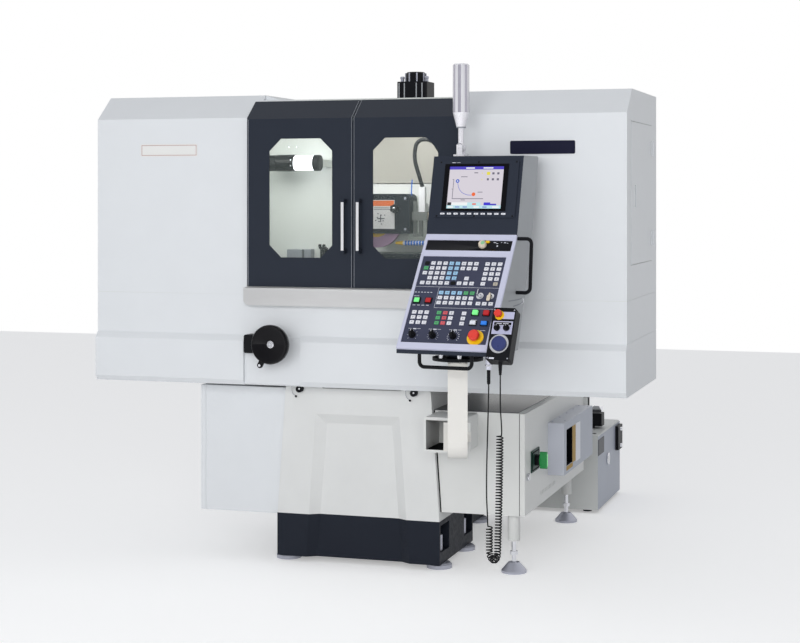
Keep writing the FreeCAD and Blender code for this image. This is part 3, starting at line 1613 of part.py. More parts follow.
def make_arm_bracket():
    # Square tube on the front of the cabinet, with the fixed leaf and two knuckles of the arm hinge.
    tube = block(tube_left, tube_right, tube_front, cabinet_front, tube_bottom, tube_top)
    tube = soften(tube, tube_corner, (0, 1, 0), everywhere)
    room = block(tube_left + tube_wall, tube_right - tube_wall, tube_front - overrun,
                 cabinet_front - tube_wall, tube_bottom + tube_wall, tube_top - tube_wall)
    leaf = block(tube_right, arm_hinge_x, arm_hinge_y, arm_hinge_y + hinge_leaf, hinge_bottom, hinge_top)
    flank = block(tube_right, tube_right + hinge_leaf, arm_hinge_y, tube_front + hinge_fixed_length,
                  hinge_bottom, hinge_top)
    leaf = leaf.fuse(flank)
    third = (hinge_top - hinge_bottom) / 3
    knuckles = [round_bar(hinge_radius, (arm_hinge_x, arm_hinge_y, z), (0, 0, 1),
                          third - door_clearance)
                for z in (hinge_bottom, hinge_top - third + door_clearance)]
    pin = round_bar(hinge_pin_radius, (arm_hinge_x, arm_hinge_y, hinge_bottom), (0, 0, 1),
                    hinge_top - hinge_bottom)
    space = block(tube_right + hinge_leaf + door_clearance, arm_hinge_x + hinge_radius + overrun,
                  arm_hinge_y - 2 * hinge_radius, arm_hinge_y + hinge_radius + runner_gap,
                  hinge_bottom + third - door_clearance, hinge_top - third + door_clearance)
    return join([tube.cut(room), leaf.cut(space)] + knuckles + [pin])


def turn_with_arm(shape):
    shape.rotate(V(arm_hinge_x, arm_hinge_y, 0), V(0, 0, 1), arm_open_angle)
    return shape


def make_pendant_arm():
    # Flat rectangular tube: out from the hinge plate, a wide bend, then up to the swivel disc.
    third = (hinge_top - hinge_bottom) / 3
    x1 = arm_hinge_x - hinge_radius - arm_plate_setback
    plate_x0 = arm_hinge_x - arm_plate_width
    face = arm_hinge_y - arm_plate_setback
    plate = block(plate_x0, x1, face - arm_plate_thickness, face, hinge_bottom, hinge_top)
    z0 = hinge_bottom + third
    z1 = hinge_top - third
    knuckle = round_bar(hinge_radius, (arm_hinge_x, arm_hinge_y, z0), (0, 0, 1), z1 - z0)
    hinge_hole = round_bar(hinge_pin_radius + running_gap, (arm_hinge_x, arm_hinge_y, z0 - overrun),
                           (0, 0, 1), z1 - z0 + 2 * overrun)
    strap = block(x1 - overrun, arm_hinge_x, face - arm_plate_thickness, face, z0, z1)
    middle = arm_hinge_x + arm_post_x
    end = face - arm_plate_thickness
    far = arm_hinge_y + arm_post_y - arm_depth / 2
    top, bottom, radius = arm_top, arm_bottom, arm_bend_radius
    low = slab_yz([(end, bottom), (end, bottom + arm_depth), (far + radius, bottom + arm_depth),
                   (far + radius, bottom)], middle - arm_width / 2, middle + arm_width / 2)
    centre = V(middle - arm_width / 2, far + radius, bottom + radius)
    bend_outer = Part.makeCylinder(radius, arm_width, centre, V(1, 0, 0))
    bend_inner = Part.makeCylinder(radius - arm_depth, arm_width + 2 * overrun,
                                   centre - V(overrun, 0, 0), V(1, 0, 0))
    quarter = block(middle - arm_width / 2, middle + arm_width / 2, far - overrun, far + radius,
                    bottom - overrun, bottom + radius)
    bend = bend_outer.cut(bend_inner).common(quarter)
    post = block(middle - arm_width / 2, middle + arm_width / 2, far, far + arm_depth,
                 bottom + radius, top)
    arm = join([plate, strap, knuckle, low, bend, post]).cut(hinge_hole)
    arm = turn_with_arm(arm)
    collar = round_bar(disc_collar_radius, (pendant_x, pendant_y, top), (0, 0, 1), disc_bottom - top)
    disc = round_bar(disc_radius, (pendant_x, pendant_y, disc_bottom), (0, 0, 1), disc_thickness)
    return join([arm, collar, disc])


def on_pendant(shape):
    shape.rotate(V(0, 0, 0), V(0, 0, 1), pendant_turn)
    shape.translate(V(pendant_x, pendant_y, 0))
    return shape


def seam_point():
    lean = math.radians(panel_lean)
    return (panel_foot_y + panel_length * math.sin(lean), panel_foot_z + panel_length * math.cos(lean))


def crown_point():
    y, z = seam_point()
    lean = math.radians(head_lean)
    return y + head_length * math.sin(lean), z + head_length * math.cos(lean)


def on_panel(shape):
    # From plate coordinates (right, up, out of the face) with the origin at the panel's top middle.
    y, z = seam_point()
    shape.rotate(V(0, 0, 0), V(1, 0, 0), 90 - panel_lean)
    shape.translate(V(0, y, z))
    return on_pendant(shape)


def on_head(shape):
    y, z = crown_point()
    shape.rotate(V(0, 0, 0), V(1, 0, 0), 90 - head_lean)
    shape.translate(V(0, y, z))
    return on_pendant(shape)


def inward(point, direction, distance):
    lean = math.radians(direction)
    return point[0] + distance * math.cos(lean), point[1] - distance * math.sin(lean)


def make_pendant_housing():
    # Bent sheet housing, open where the panel plate closes it.
    half = panel_width / 2
    foot = (panel_foot_y, panel_foot_z)
    seam, crown = seam_point(), crown_point()
    back_seam = (seam[0] + waist_thickness, seam[1])
    back_top = (crown[0] + head_thickness, crown[1])
    back_foot = (panel_foot_y + bottom_depth, pendant_bottom)
    front_foot = inward(foot, panel_lean, panel_thickness)
    front_seam = inward(seam, panel_lean, panel_thickness)
    outer = [(front_foot[0], pendant_bottom), front_foot, front_seam, seam, crown, back_top,
             back_seam, back_foot]
    body = slab_yz(outer, -half, half)
    body = soften(body, door_corner_radius, (1, 0, 0), lambda p: p.y > crown[0] + waist_thickness / 2)
    s = pendant_sheet
    low, high = inward(front_foot, panel_lean, 2 * s), inward(front_seam, panel_lean, s)
    inner = [(low[0], pendant_bottom + s), low, high, (high[0], seam[1] + s),
             (crown[0] + s, crown[1] - 2 * s), (back_top[0] - 2 * s, crown[1] - 2 * s),
             (back_seam[0] - 2 * s, seam[1]), (back_foot[0] - 3 * s, pendant_bottom + s)]
    room = slab_yz(inner, -half + s, half - s)
    mouth = block(-half + frame_border, half - frame_border, -panel_length + frame_border,
                  -frame_border, -panel_thickness - 2 * well_depth, 0)
    y, z = seam
    mouth.rotate(V(0, 0, 0), V(1, 0, 0), 90 - panel_lean)
    mouth.translate(V(0, y, z))
    socket = round_bar(disc_collar_radius, (0, 0, disc_bottom + disc_thickness), (0, 0, 1),
                       pendant_bottom - disc_bottom - disc_thickness)
    return on_pendant(join([carve(body, [room, mouth]), socket]))


def knob_places():
    return [(share * 2 * board_half, knob_v) for share in knob_u_shares]


def make_pendant_panel():
    half, s = panel_width / 2, panel_thickness
    plate = block(-half, half, -panel_length, 0, -s, 0)
    plate = soften(plate, door_corner_radius / 3, (0, 0, 1), everywhere)
    strip = block(-strip_half, strip_half, -strip_bottom, -strip_top, -pocket_depth, overrun)
    board = block(board_shift - board_half, board_shift + board_half, -board_bottom, -board_top,
                  -pocket_depth, overrun)
    backing = block(-half + frame_border + s, half - frame_border - s, -panel_length + frame_border
                    + s, -frame_border - s, -s - well_depth, -s)
    wells = [round_bar(dial_knob_radius / 3 + running_gap, (u, -v, -s - well_depth - overrun),
                       (0, 0, 1), s + well_depth + 2 * overrun) for u, v in knob_places()]
    wells.append(round_bar(stop_stem_radius + well_clearance,
                           (stop_u, -stop_v, -s - well_depth - overrun), (0, 0, 1),
                           s + well_depth + 2 * overrun + stop_ring_height))
    wells.append(round_bar(key_switch_radius / 2 + running_gap,
                           (switch_u, -switch_v, -s - well_depth - overrun), (0, 0, 1),
                           s + well_depth + 2 * overrun))
    for u in (button_left_u, button_right_u):
        wells.append(block(u - lamp_key_width / 2 - well_clearance,
                           u + lamp_key_width / 2 + well_clearance,
                           -button_v - lamp_key_length / 2 - well_clearance,
                           -button_v + lamp_key_length / 2 + well_clearance,
                           -s - well_depth - overrun, overrun))
    ring = round_bar(stop_ring_radius, (stop_u, -stop_v, -pocket_depth), (0, 0, 1),
                     stop_ring_height)
    body = carve(join([plate.cut(strip).cut(board), backing, ring]), wells)
    return on_panel(group([body] + panel_keys()))


# Keyboard places as columns counted in key pitches from the board's middle, row by row from the top.
letter_row_shares = (
    (-5, -4, -3, -2, -1, 0, 1, 2, 3.8, 4.8, 5.8),
    (-6, -5, -4, -3, -2, -1, 0, 1, 2, 3.8, 4.8, 5.8),
    (-6, -5, -4, -3, -2, -1, 3.8, 4.8, 5.8),
    (-5, -4, -3, -2, -1, 1, 3.8, 4.8, 5.8),
    (-6, -5, -4, -3, -2, 0, 1, 2, 3.8, 5.8),
)
axis_row_shares = (
    (-2.5, -1.5, -0.5, 0.5, 1.5, 2.5),
    (-2.5, -1.5, -0.5, 0.5, 1.5, 2.5),
    (-2.5, -1.5, -0.5, 0.5, 1.5, 2.5, 3.8, 4.8, 5.8),
)
mode_row_shares = (
    (-6, -5, -4, -2, -1, 0, 2),
    (-6, -5, -4, -2, -1, 0, 2),
    (-6, -5, -4, -2, -1, 0, 2),
)
letter_top = 124.5
axis_top = 248.0
mode_top = 331.0


def panel_keys():
    keys = []
    for top, rows in ((letter_top, letter_row_shares), (axis_top, axis_row_shares),
                      (mode_top, mode_row_shares)):
        for row, columns in enumerate(rows):
            v = top + row * key_pitch_v
            for column in columns:
                u = column * key_pitch_u
                keys.append(block(u - key_width / 2, u + key_width / 2, -v - key_length / 2,
                                  -v + key_length / 2, -pocket_depth, key_height - pocket_depth))
    for u, v in ((button_left_u, button_v + 2 * key_pitch_v), (button_right_u,
                                                             button_v + 2 * key_pitch_v)):
        keys.append(block(u - lamp_key_width / 2, u + lamp_key_width / 2, -v - key_length / 2,
                          -v + key_length / 2, -pocket_depth, button_height - pocket_depth))
    return keys


def make_display_unit():
    left = display_shift - display_width / 2
    plate = block(left, left + display_width, -display_top - display_height, -display_top, 0,
                  display_thickness)
    plate = soften(plate, door_corner_radius / 3, (0, 0, 1), everywhere)
    b, w, h = screen_border, screen_width / 2, screen_height
    bezel = block(-w - b, w + b, -screen_top - h - b / 2, -screen_top + b / 2, display_thickness,
                  display_thickness + bezel_height)
    screen = block(-w, w, -screen_top - h, -screen_top, display_thickness - bezel_height / 2,
                   display_thickness + bezel_height + overrun)
    body = join([plate, bezel]).cut(screen)
    keys = []
    for i in range(soft_key_count):
        u = (i - (soft_key_count - 1) / 2) * soft_key_pitch
        keys.append(block(u - soft_key_width / 2, u + soft_key_width / 2,
                          -soft_key_drop - soft_key_length / 2, -soft_key_drop + soft_key_length / 2,
                          display_thickness, display_thickness + key_height))
    return on_head(group([body] + keys))


def loop_handle(points):
    # Bent round bar: straight legs and one bend radius at each corner.
    nodes = [V(*p) for p in points]
    edges = []
    last = nodes[0]
    for before, here, after in zip(nodes, nodes[1:], nodes[2:]):
        inward_run = (here - before).normalize()
        outward_run = (after - here).normalize()
        turn = inward_run.getAngle(outward_run)
        reach = loop_bend * math.tan(turn / 2)
        start, end = here - inward_run * reach, here + outward_run * reach
        bisector = (outward_run - inward_run).normalize()
        centre = here + bisector * (loop_bend / math.cos(turn / 2))
        edges.append(Part.LineSegment(last, start).toShape())
        edges.append(Part.Arc(start, centre - bisector * loop_bend, end).toShape())
        last = end
    edges.append(Part.LineSegment(last, nodes[-1]).toShape())
    return pipe(Part.Wire(edges), nodes[0], nodes[1] - nodes[0], loop_radius)


def make_pendant_fittings():
    side = panel_width / 2
    far = side + side_loop_reach
    side_loop = loop_handle([(side, side_loop_top_y, side_loop_top_z),
                             (far, side_loop_top_y, side_loop_top_z),
                             (far, side_loop_bottom_y, side_loop_bottom_z),
                             (side, side_loop_bottom_y, side_loop_bottom_z)])
    low_loop = loop_handle([(low_loop_left, low_loop_y, pendant_bottom),
                            (low_loop_left, low_loop_y, low_loop_z),
                            (low_loop_right, low_loop_y, low_loop_z),
                            (low_loop_right, low_loop_y, pendant_bottom)])
    socket = Part.makeCone(socket_radius, socket_radius * 0.75, socket_length,
                           V(socket_x, socket_y, pendant_bottom), V(0, 0, -1))
    loops = [on_pendant(side_loop), on_pendant(low_loop), on_pendant(socket)]
    return group(loops + [make_hook()])


def on_hand(shape):
    # From plate coordinates with the origin at the hand pendant's top middle, on its front face.
    shape.rotate(V(0, 0, 0), V(1, 0, 0), 90 - hand_lean)
    shape.translate(V(hand_x, hand_top_y, hand_top_z))
    return on_pendant(shape)


def make_hook():
    # Bracket that carries the hand pendant, welded to the housing's side.
    side = panel_width / 2 - hand_x
    w = -hand_thickness
    plate = block(side + door_clearance, side + hook_width, -hook_length, hook_thickness, w
                  - hook_thickness, w)
    flange = block(side, side + hook_thickness, -hook_length, 0, w - hook_flange, w)
    return on_hand(join([plate, flange]))


def make_hand_pendant():
    half = hand_width / 2
    body = block(-half, half, -hand_length, 0, -hand_thickness, 0)
    body = soften(body, hand_corner, (0, 0, 1), everywhere)
    wells = [round_bar(hand_dial_radius / 3 + running_gap, (0, -hand_dial_drop, -well_depth),
                       (0, 0, 1), well_depth + overrun + hand_ring_height),
             round_bar(hand_stop_radius / 2 + well_clearance,
                       (hand_stop_u, -hand_stop_drop, -well_depth - hand_ring_height),
                       (0, 0, 1), well_depth + overrun + hand_ring_height)]
    for side in (-1, 1):
        wells.append(round_bar(selector_radius / 3 + running_gap,
                               (side * selector_u, -selector_drop, -well_depth), (0, 0, 1),
                               well_depth + overrun))
    ring = round_bar(hand_dial_radius + hand_ring_width, (0, -hand_dial_drop, 0), (0, 0, 1),
                     hand_ring_height)
    ring = ring.cut(round_bar(hand_dial_radius + door_clearance, (0, -hand_dial_drop, 0), (0, 0, 1),
                              hand_ring_height + overrun))
    body = on_hand(carve(join([body, ring]), wells))
    boot = Part.makeCone(boot_radius, boot_tip_radius, boot_length,
                         V(hand_boot_x, hand_boot_y, hand_boot_top), V(0, 0, -1))
    return join([body, on_pendant(boot)])


def make_hand_pendant_dial():
    dial = round_bar(hand_dial_radius, (0, -hand_dial_drop, door_clearance), (0, 0, 1),
                     hand_dial_height)
    dial = dial.makeChamfer(hand_dial_height / 4, [dial.Edges[0]])
    dimple = Part.makeSphere(hand_dial_height / 2, V(0, -hand_dial_drop - hand_dial_radius / 2,
                                                     hand_dial_height * 4 / 3))
    stem = round_bar(hand_dial_radius / 3, (0, -hand_dial_drop, -well_depth), (0, 0, 1),
                     well_depth + door_clearance)
    return on_hand(join([dial.cut(dimple), stem]))


def mushroom(radius, stem, height, cap, depth):
    profile = [(0, -depth), (stem, -depth), (stem, height - cap), (radius, height - cap),
               (radius, height - cap / 3), (radius * 0.8, height), (0, height)]
    wire = Part.makePolygon([V(r, 0, z) for r, z in profile] + [V(0, 0, -depth)])
    return Part.Face(wire).revolve(V(0, 0, 0), V(0, 0, 1), 360)


def make_hand_pendant_stop():
    knob = mushroom(hand_stop_radius, hand_stop_radius / 2, hand_stop_height,
                    stop_cap_height, well_depth - stop_travel)
    knob.translate(V(hand_stop_u, -hand_stop_drop, 0))
    return on_hand(knob)


def make_selector(side):
    grip = round_bar(selector_radius, (0, 0, door_clearance), (0, 0, 1), selector_height / 2)
    bar = block(-selector_radius / 3, selector_radius / 3, -selector_radius, selector_radius,
                selector_height / 2, selector_height)
    stem = round_bar(selector_radius / 3, (0, 0, -well_depth), (0, 0, 1),
                     well_depth + door_clearance)
    knob = join([grip, bar, stem])
    knob.translate(V(side * selector_u, -selector_drop, 0))
    return on_hand(knob)


def make_dial_knob(u, v):
    skirt = round_bar(dial_knob_radius, (0, 0, door_clearance - pocket_depth), (0, 0, 1),
                      dial_skirt_height)
    top = dial_skirt_height + door_clearance - pocket_depth
    crown = Part.makeCone(dial_knob_radius * 0.8, dial_knob_radius * 0.7, dial_knob_height,
                          V(0, 0, top), V(0, 0, 1))
    grip = block(-dial_grip_width / 2, dial_grip_width / 2, -dial_knob_radius, dial_knob_radius,
                 top, top + dial_knob_height + dial_grip_height / 2)
    stem = round_bar(dial_knob_radius / 3, (0, 0, -panel_thickness - well_depth), (0, 0, 1),
                     panel_thickness + well_depth + door_clearance - pocket_depth)
    knob = join([skirt, crown, grip, stem])
    knob.translate(V(u, -v, 0))
    return on_panel(knob)


def make_key_switch():
    barrel = round_bar(key_switch_radius, (0, 0, door_clearance - pocket_depth), (0, 0, 1),
                       key_switch_height)
    top = key_switch_height + door_clearance - pocket_depth
    blade = block(-key_blade_width / 2, key_blade_width / 2, -key_blade_length / 2,
                  key_blade_length / 2, top + key_blade_reach / 3, top + key_blade_reach)
    neck = block(-key_blade_width / 2, key_blade_width / 2, -key_blade_length / 5,
                 key_blade_length / 5, top, top + key_blade_reach / 2)
    stem = round_bar(key_switch_radius / 2, (0, 0, -panel_thickness - well_depth), (0, 0, 1),
                     panel_thickness + well_depth + door_clearance - pocket_depth)
    switch = join([barrel, blade, neck, stem])
    switch.translate(V(switch_u, -switch_v, 0))
    return on_panel(switch)


def make_push_button(u):
    button = block(u - lamp_key_width / 2, u + lamp_key_width / 2, -button_v - lamp_key_length / 2,
                   -button_v + lamp_key_length / 2, -panel_thickness - well_depth + button_travel,
                   button_height - pocket_depth)
    button = soften(button, key_height, (0, 0, 1), everywhere)
    return on_panel(button)


def make_emergency_stop():
    knob = mushroom(stop_radius, stop_stem_radius, stop_height, stop_cap_height,
                    panel_thickness + well_depth - stop_travel)
    knob.translate(V(stop_u, -stop_v, 0))
    return on_panel(knob)


def make_tower_foot():
    # Fixed clevis of the folding signal tower, on the pendant's roof.
    z0 = crown_point()[1]
    h = tower_foot_half
    foot = block(-h, h, -h, h, z0, z0 + tower_foot_height)
    ears = []
    for side in (-1, 1):
        y0 = side * (tower_ear_gap / 2 + tower_ear_thickness / 2)
        ears.append(block(-h / 2, h / 2, y0 - tower_ear_thickness / 2, y0 + tower_ear_thickness / 2,
                          z0, z0 + tower_ear_height))
    pin = round_bar(tower_pin_radius, (0, -h, z0 + tower_pivot_height), (0, 1, 0), 2 * h)
    return join([foot] + ears + [pin])


def at_tower(shape):
    shape.translate(V(tower_x, tower_y, 0))
    return on_pendant(shape)


def make_signal_tower():
    # Neck, taper and smooth tube turned in one piece on the pivot's eye.
    z0 = crown_point()[1] + tower_pivot_height
    eye_radius = tower_ear_gap / 2 - door_clearance
    eye = round_bar(eye_radius, (0, -eye_radius, z0), (0, 1, 0), 2 * eye_radius)
    hole = round_bar(tower_pin_radius + running_gap, (0, -tower_ear_gap, z0), (0, 1, 0),
                     2 * tower_ear_gap)
    profile = [(0, z0), (tower_neck_radius, z0), (tower_neck_radius, tower_cone_bottom),
               (tower_collar_radius, tower_cone_bottom), (tower_lens_radius, tower_lens_bottom),
               (tower_lens_radius, tower_top - tower_bevel),
               (tower_lens_radius - tower_bevel, tower_top), (0, tower_top)]
    wire = Part.makePolygon([V(r, 0, h) for r, h in profile] + [V(0, 0, z0)])
    turned = Part.Face(wire).revolve(V(0, 0, 0), V(0, 0, 1), 360)
    return at_tower(join([eye, turned]).cut(hole))


def coil_centre_line():
    return rounded_path([coil_top, coil_knee, coil_front_turn, coil_back_turn, coil_end])


def place_on(edges, distance):
    # Point and direction on a chain of edges at a distance along it.
    for edge in edges:
        if distance <= edge.Length or edge is edges[-1]:
            value = edge.getParameterByLength(min(max(distance, 0), edge.Length))
            return edge.valueAt(value), edge.tangentAt(value)
        distance -= edge.Length


def helix_stations():
    # Quarter-turn places on the curly cord and the direction of the wire at each.
    line, radii = coil_centre_line()
    quarters = 4 * curls
    rise = line.Length / quarters
    swing = curl_radius * math.pi / 2
    across = V(*coil_back_turn) - V(*coil_front_turn)
    side = across.cross(V(0, 0, 1)).normalize()
    result = []
    for k in range(quarters + 1):
        centre, along = place_on(line.Edges, k * rise)
        before = place_on(line.Edges, (k - 0.5) * rise)[1]
        after = place_on(line.Edges, (k + 0.5) * rise)[1]
        first = along.cross(side).normalize()
        second = along.cross(first)
        angle = math.pi / 2 * k
        out = first * math.cos(angle) + second * math.sin(angle)
        turning = second * math.cos(angle) - first * math.sin(angle)
        advance = rise - curl_radius * out.dot(after - before)
        result.append((centre + out * curl_radius, (along * advance + turning * swing).normalize()))
    return result, line.Length, radii


def arc_between(start, way, end):
    chord = end - start
    unit = V(chord).normalize()
    lift = way - unit * way.dot(unit)
    if lift.Length < 1e-7:
        return Part.LineSegment(start, end).toShape()
    angle = way.getAngle(chord)
    middle = start + chord * 0.5 + lift.normalize() * (chord.Length / 2 * math.tan(angle / 2))
    return Part.Arc(start, middle, end).toShape()


def biarc(p0, t0, p1, t1):
    # Two arcs that meet with a shared tangent and keep both end directions.
    gap, ways = p1 - p0, t0 + t1
    flat = 2 * (1 - t0.dot(t1))
    lean = gap.dot(ways)
    if flat < 1e-9:
        reach = gap.dot(gap) / (4 * gap.dot(t1))
    else:
        reach = (-lean + math.sqrt(lean * lean + flat * gap.dot(gap))) / flat
    joint = (p0 + p1 + (t0 - t1) * reach) * 0.5
    joint_way = (p1 - p0 - ways * reach).normalize()
    return [arc_between(p0, t0, joint), arc_between(joint, joint_way, p1)]


def least_gap(samples, per_curl, diameter):
    # Smallest clear distance between places on the wire that lie most of a curl or more apart.
    least = None
    for i, a in enumerate(samples):
        for b in samples[i + per_curl * 3 // 4:]:
            distance = (a - b).Length
            least = distance if least is None else min(least, distance)
    return least - diameter


def make_hand_pendant_cord():
    stations, coil_length, radii = helix_stations()
    start = V(hand_boot_x, hand_boot_y, hand_boot_top - boot_length)
    finish = V(socket_x, socket_y, pendant_bottom - socket_length)
    up = V(0, 0, 1)
    first_point, first_way = stations[0]
    last_point, last_way = stations[-1]
    drop = V(start.x, start.y, first_point.z + lead_straight)
    edges = [Part.LineSegment(start, drop).toShape()]
    edges += biarc(drop, up * -1, first_point, first_way)
    for (p0, t0), (p1, t1) in zip(stations, stations[1:]):
        edges += biarc(p0, t0, p1, t1)
    coil_edges = edges[3:]
    rise = V(coil_end[0] - lead_out, coil_end[1], last_point.z + lead_rise)
    high = finish - up * lead_straight
    climb = (high - rise).normalize()
    edges += biarc(last_point, last_way, rise, climb)
    edges.append(Part.LineSegment(rise, high).toShape())
    edges += biarc(high, climb, finish - up * socket_straight, up)
    edges.append(Part.LineSegment(finish - up * socket_straight, finish).toShape())
    path = Part.Wire(edges)
    samples = [p for edge in coil_edges for p in edge.discretize(4)[:-1]]
    per_curl = len(samples) // curls
    print("curly cord: run %.0f mm, coil %.0f mm with %d curls, turns of its axis %s mm"
          % (path.Length, coil_length, curls, ", ".join("%.0f" % r for r in radii)))
    print("curly cord: least gap to itself %.2f mm"
          % least_gap(samples, per_curl, 2 * cord_radius))
    tube = pipe(path, start, up * -1, cord_radius)
    print("curly cord: volume over section times length %.4f"
          % (tube.Volume / (math.pi * cord_radius ** 2 * path.Length)))
    return on_pendant(tube)


def make_coolant_tank():
    # Welded tank on a dark plinth, with a lid, a pump motor, a fitting and a sight gauge.
    s = tank_sheet
    body = block(tank_left, tank_right, tank_front, tank_back, tank_plinth_top, tank_top)
    room = block(tank_left + s, tank_right - s, tank_front + s, tank_back - s,
                 tank_plinth_top + s, tank_top + overrun)
    plinth = block(tank_left, tank_right, tank_front, tank_back, tank_plinth_bottom,
                   tank_plinth_top)
    hollow = block(tank_left + s, tank_right - s, tank_front + s, tank_back - s,
                   tank_plinth_bottom - overrun, tank_plinth_top - s)
    m = tank_lid_margin
    lid = block(tank_left + s / 2, tank_right - s / 2, tank_front + s / 2, tank_back - s / 2,
                tank_top, tank_top + tank_lid_thickness)
    lid = soften(lid, m, (0, 0, 1), everywhere)
    feet = [round_bar(tank_foot_radius, (x, y, 0), (0, 0, 1), tank_plinth_top - s)
            for x in (tank_left + tank_foot_inset, tank_right - tank_foot_inset)
            for y in (tank_front + tank_foot_inset, tank_back - tank_foot_inset)]
    shell = join([body.cut(room), plinth.cut(hollow)] + feet)
    top = tank_top + tank_lid_thickness
    pump = join([round_bar(pump_flange_radius, (pump_x, pump_y, top), (0, 0, 1),
                           pump_flange_height),
                 round_bar(pump_radius, (pump_x, pump_y, top), (0, 0, 1), pump_height),
                 block(pump_x + pump_radius - s, pump_x + pump_radius + 2 * terminal_half
                       - s, pump_y - terminal_half, pump_y + terminal_half,
                       top + pump_flange_height, top + pump_flange_height + terminal_height)])
    fitting = join([round_bar(fitting_radius, (fitting_x, fitting_y, top), (0, 0, 1),
                              fitting_height),
                    round_bar(elbow_radius, (fitting_x, fitting_y, top + fitting_height
                                             - elbow_radius), (0, -1, 0), elbow_reach)])
    gauge = round_bar(gauge_radius, (tank_right, gauge_y, gauge_z), (1, 0, 0), gauge_depth)
    gauge = gauge.cut(round_bar(gauge_radius * 0.7, (tank_right + gauge_depth / 2, gauge_y, gauge_z),
                                (1, 0, 0), gauge_depth))
    tag = block(tank_right, tank_right + tag_thickness, tag_front, tag_back, tag_bottom, tag_top)
    fan = block(tank_right, tank_right + fan_depth, fan_front, fan_front + fan_length,
                fan_bottom, fan_top)
    fan = soften(fan, s, (1, 0, 0), everywhere)
    middle = fan_front + fan_length / 2
    bolts = [round_bar(fan_bolt_radius, (tank_right + fan_depth, middle, z), (1, 0, 0),
                       fan_bolt_length) for z in (fan_bottom + 2 * fan_bolt_radius,
                                                  fan_top - 2 * fan_bolt_radius)]
    return group([shell, lid, pump, fitting, gauge, tag, join([fan] + bolts)])


def build():
    knobs = [make_dial_knob(u, v) for u, v in knob_places()]
    parts = {
        "base_casting": make_base_casting(),
        "base_plinth": make_base_plinth(),
        "levelling_feet": make_levelling_feet(),
        "left_side_cover": make_left_side_cover(),
        "electrical_cabinet": make_electrical_cabinet(),
        "cabinet_door": make_cabinet_door(),
        "heat_exchanger": make_heat_exchanger(),
        "main_switch_handle": make_main_switch_handle(),
        "door_latch": make_door_latch(),
        "casing_left": make_casing_left(),
        "casing_right": make_casing_right(),
        "side_access_door": make_side_access_door(),
        "lower_casing": make_lower_casing(),
        "rear_casing": make_rear_casing(),
        "door_sill": make_door_sill(),
        "drip_tray": make_drip_tray(),
        "work_lamp": make_work_lamp(),
        "door_left": make_door(door_left_edge, door_seam - door_seam_gap / 2, window_left_start,
                               window_left_end, handle_x_left),
        "window_left": make_pane(window_left_start, window_left_end),
        "door_right": make_door(door_seam + door_seam_gap / 2, door_right_edge, window_right_start,
                                window_right_end, handle_x_right),
        "window_right": make_pane(window_right_start, window_right_end),
        "column_casting": make_column_casting(),
        "z_motor": make_z_motor(),
        "head_screw": make_head_screw(),
        "way_cover_upper": make_way_cover_upper(),
        "way_cover_lower": make_way_cover_lower(),
        "spindle_head": make_spindle_head(),
        "wheel_guard": make_wheel_guard(),
        "guard_knob": make_guard_knob(),
        "coolant_nozzle": make_coolant_nozzle(),
        "spindle_shaft": make_spindle_shaft(),
        "grinding_wheel": make_grinding_wheel(),
        "saddle": make_saddle(),
        "saddle_screw": make_saddle_screw(),
        "table": make_table(),
        "table_screw": make_table_screw(),
        "magnetic_chuck": make_magnetic_chuck(),
        "handwheel_bracket": make_handwheel_bracket(),
        "handwheel": make_handwheel(),
        "arm_bracket": make_arm_bracket(),
        "pendant_arm": make_pendant_arm(),
        "pendant_housing": group([make_pendant_housing(), at_tower(make_tower_foot())]),
        "pendant_panel": make_pendant_panel(),
        "display_unit": make_display_unit(),
        "pendant_fittings": make_pendant_fittings(),
        "signal_tower": make_signal_tower(),
        "emergency_stop": make_emergency_stop(),
        "mode_knob": knobs[0],
        "speed_knob": knobs[1],
        "feed_knob": knobs[2],
        "key_switch": make_key_switch(),
        "start_button": make_push_button(button_left_u),
        "hold_button": make_push_button(button_right_u),
        "hand_pendant": make_hand_pendant(),
        "hand_pendant_dial": make_hand_pendant_dial(),
        "hand_pendant_stop": make_hand_pendant_stop(),
        "axis_selector": make_selector(-1),
        "step_selector": make_selector(1),
        "hand_pendant_cord": make_hand_pendant_cord(),
        "coolant_tank": make_coolant_tank(),
    }
    return parts


cord_nodes = ("hand_pendant_cord",)


def main():
    parts = build()
    box = FreeCAD.BoundBox()
    for name, shape in parts.items():
        if name not in cord_nodes:
            box.add(shape.BoundBox)
    shift = V(-box.Center.x, -box.Center.y, -box.ZMin)
    os.makedirs("parts", exist_ok=True)
    for name, shape in parts.items():
        shape.translate(shift)
        bad = "" if shape.isValid() else "  not valid"
        print("%-20s %2d solids  volume %10.0f%s" % (name, len(shape.Solids), shape.Volume, bad))
        shape.exportStep("parts/%s.step" % name)
    print("origin moved by %.4f %.4f %.4f" % (shift.x, shift.y, shift.z))
    print("box %.1f x %.1f x %.1f" % (box.XLength, box.YLength, box.ZLength))


main()
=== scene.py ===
import math

import bmesh
import bpy
from mathutils import Matrix, Vector


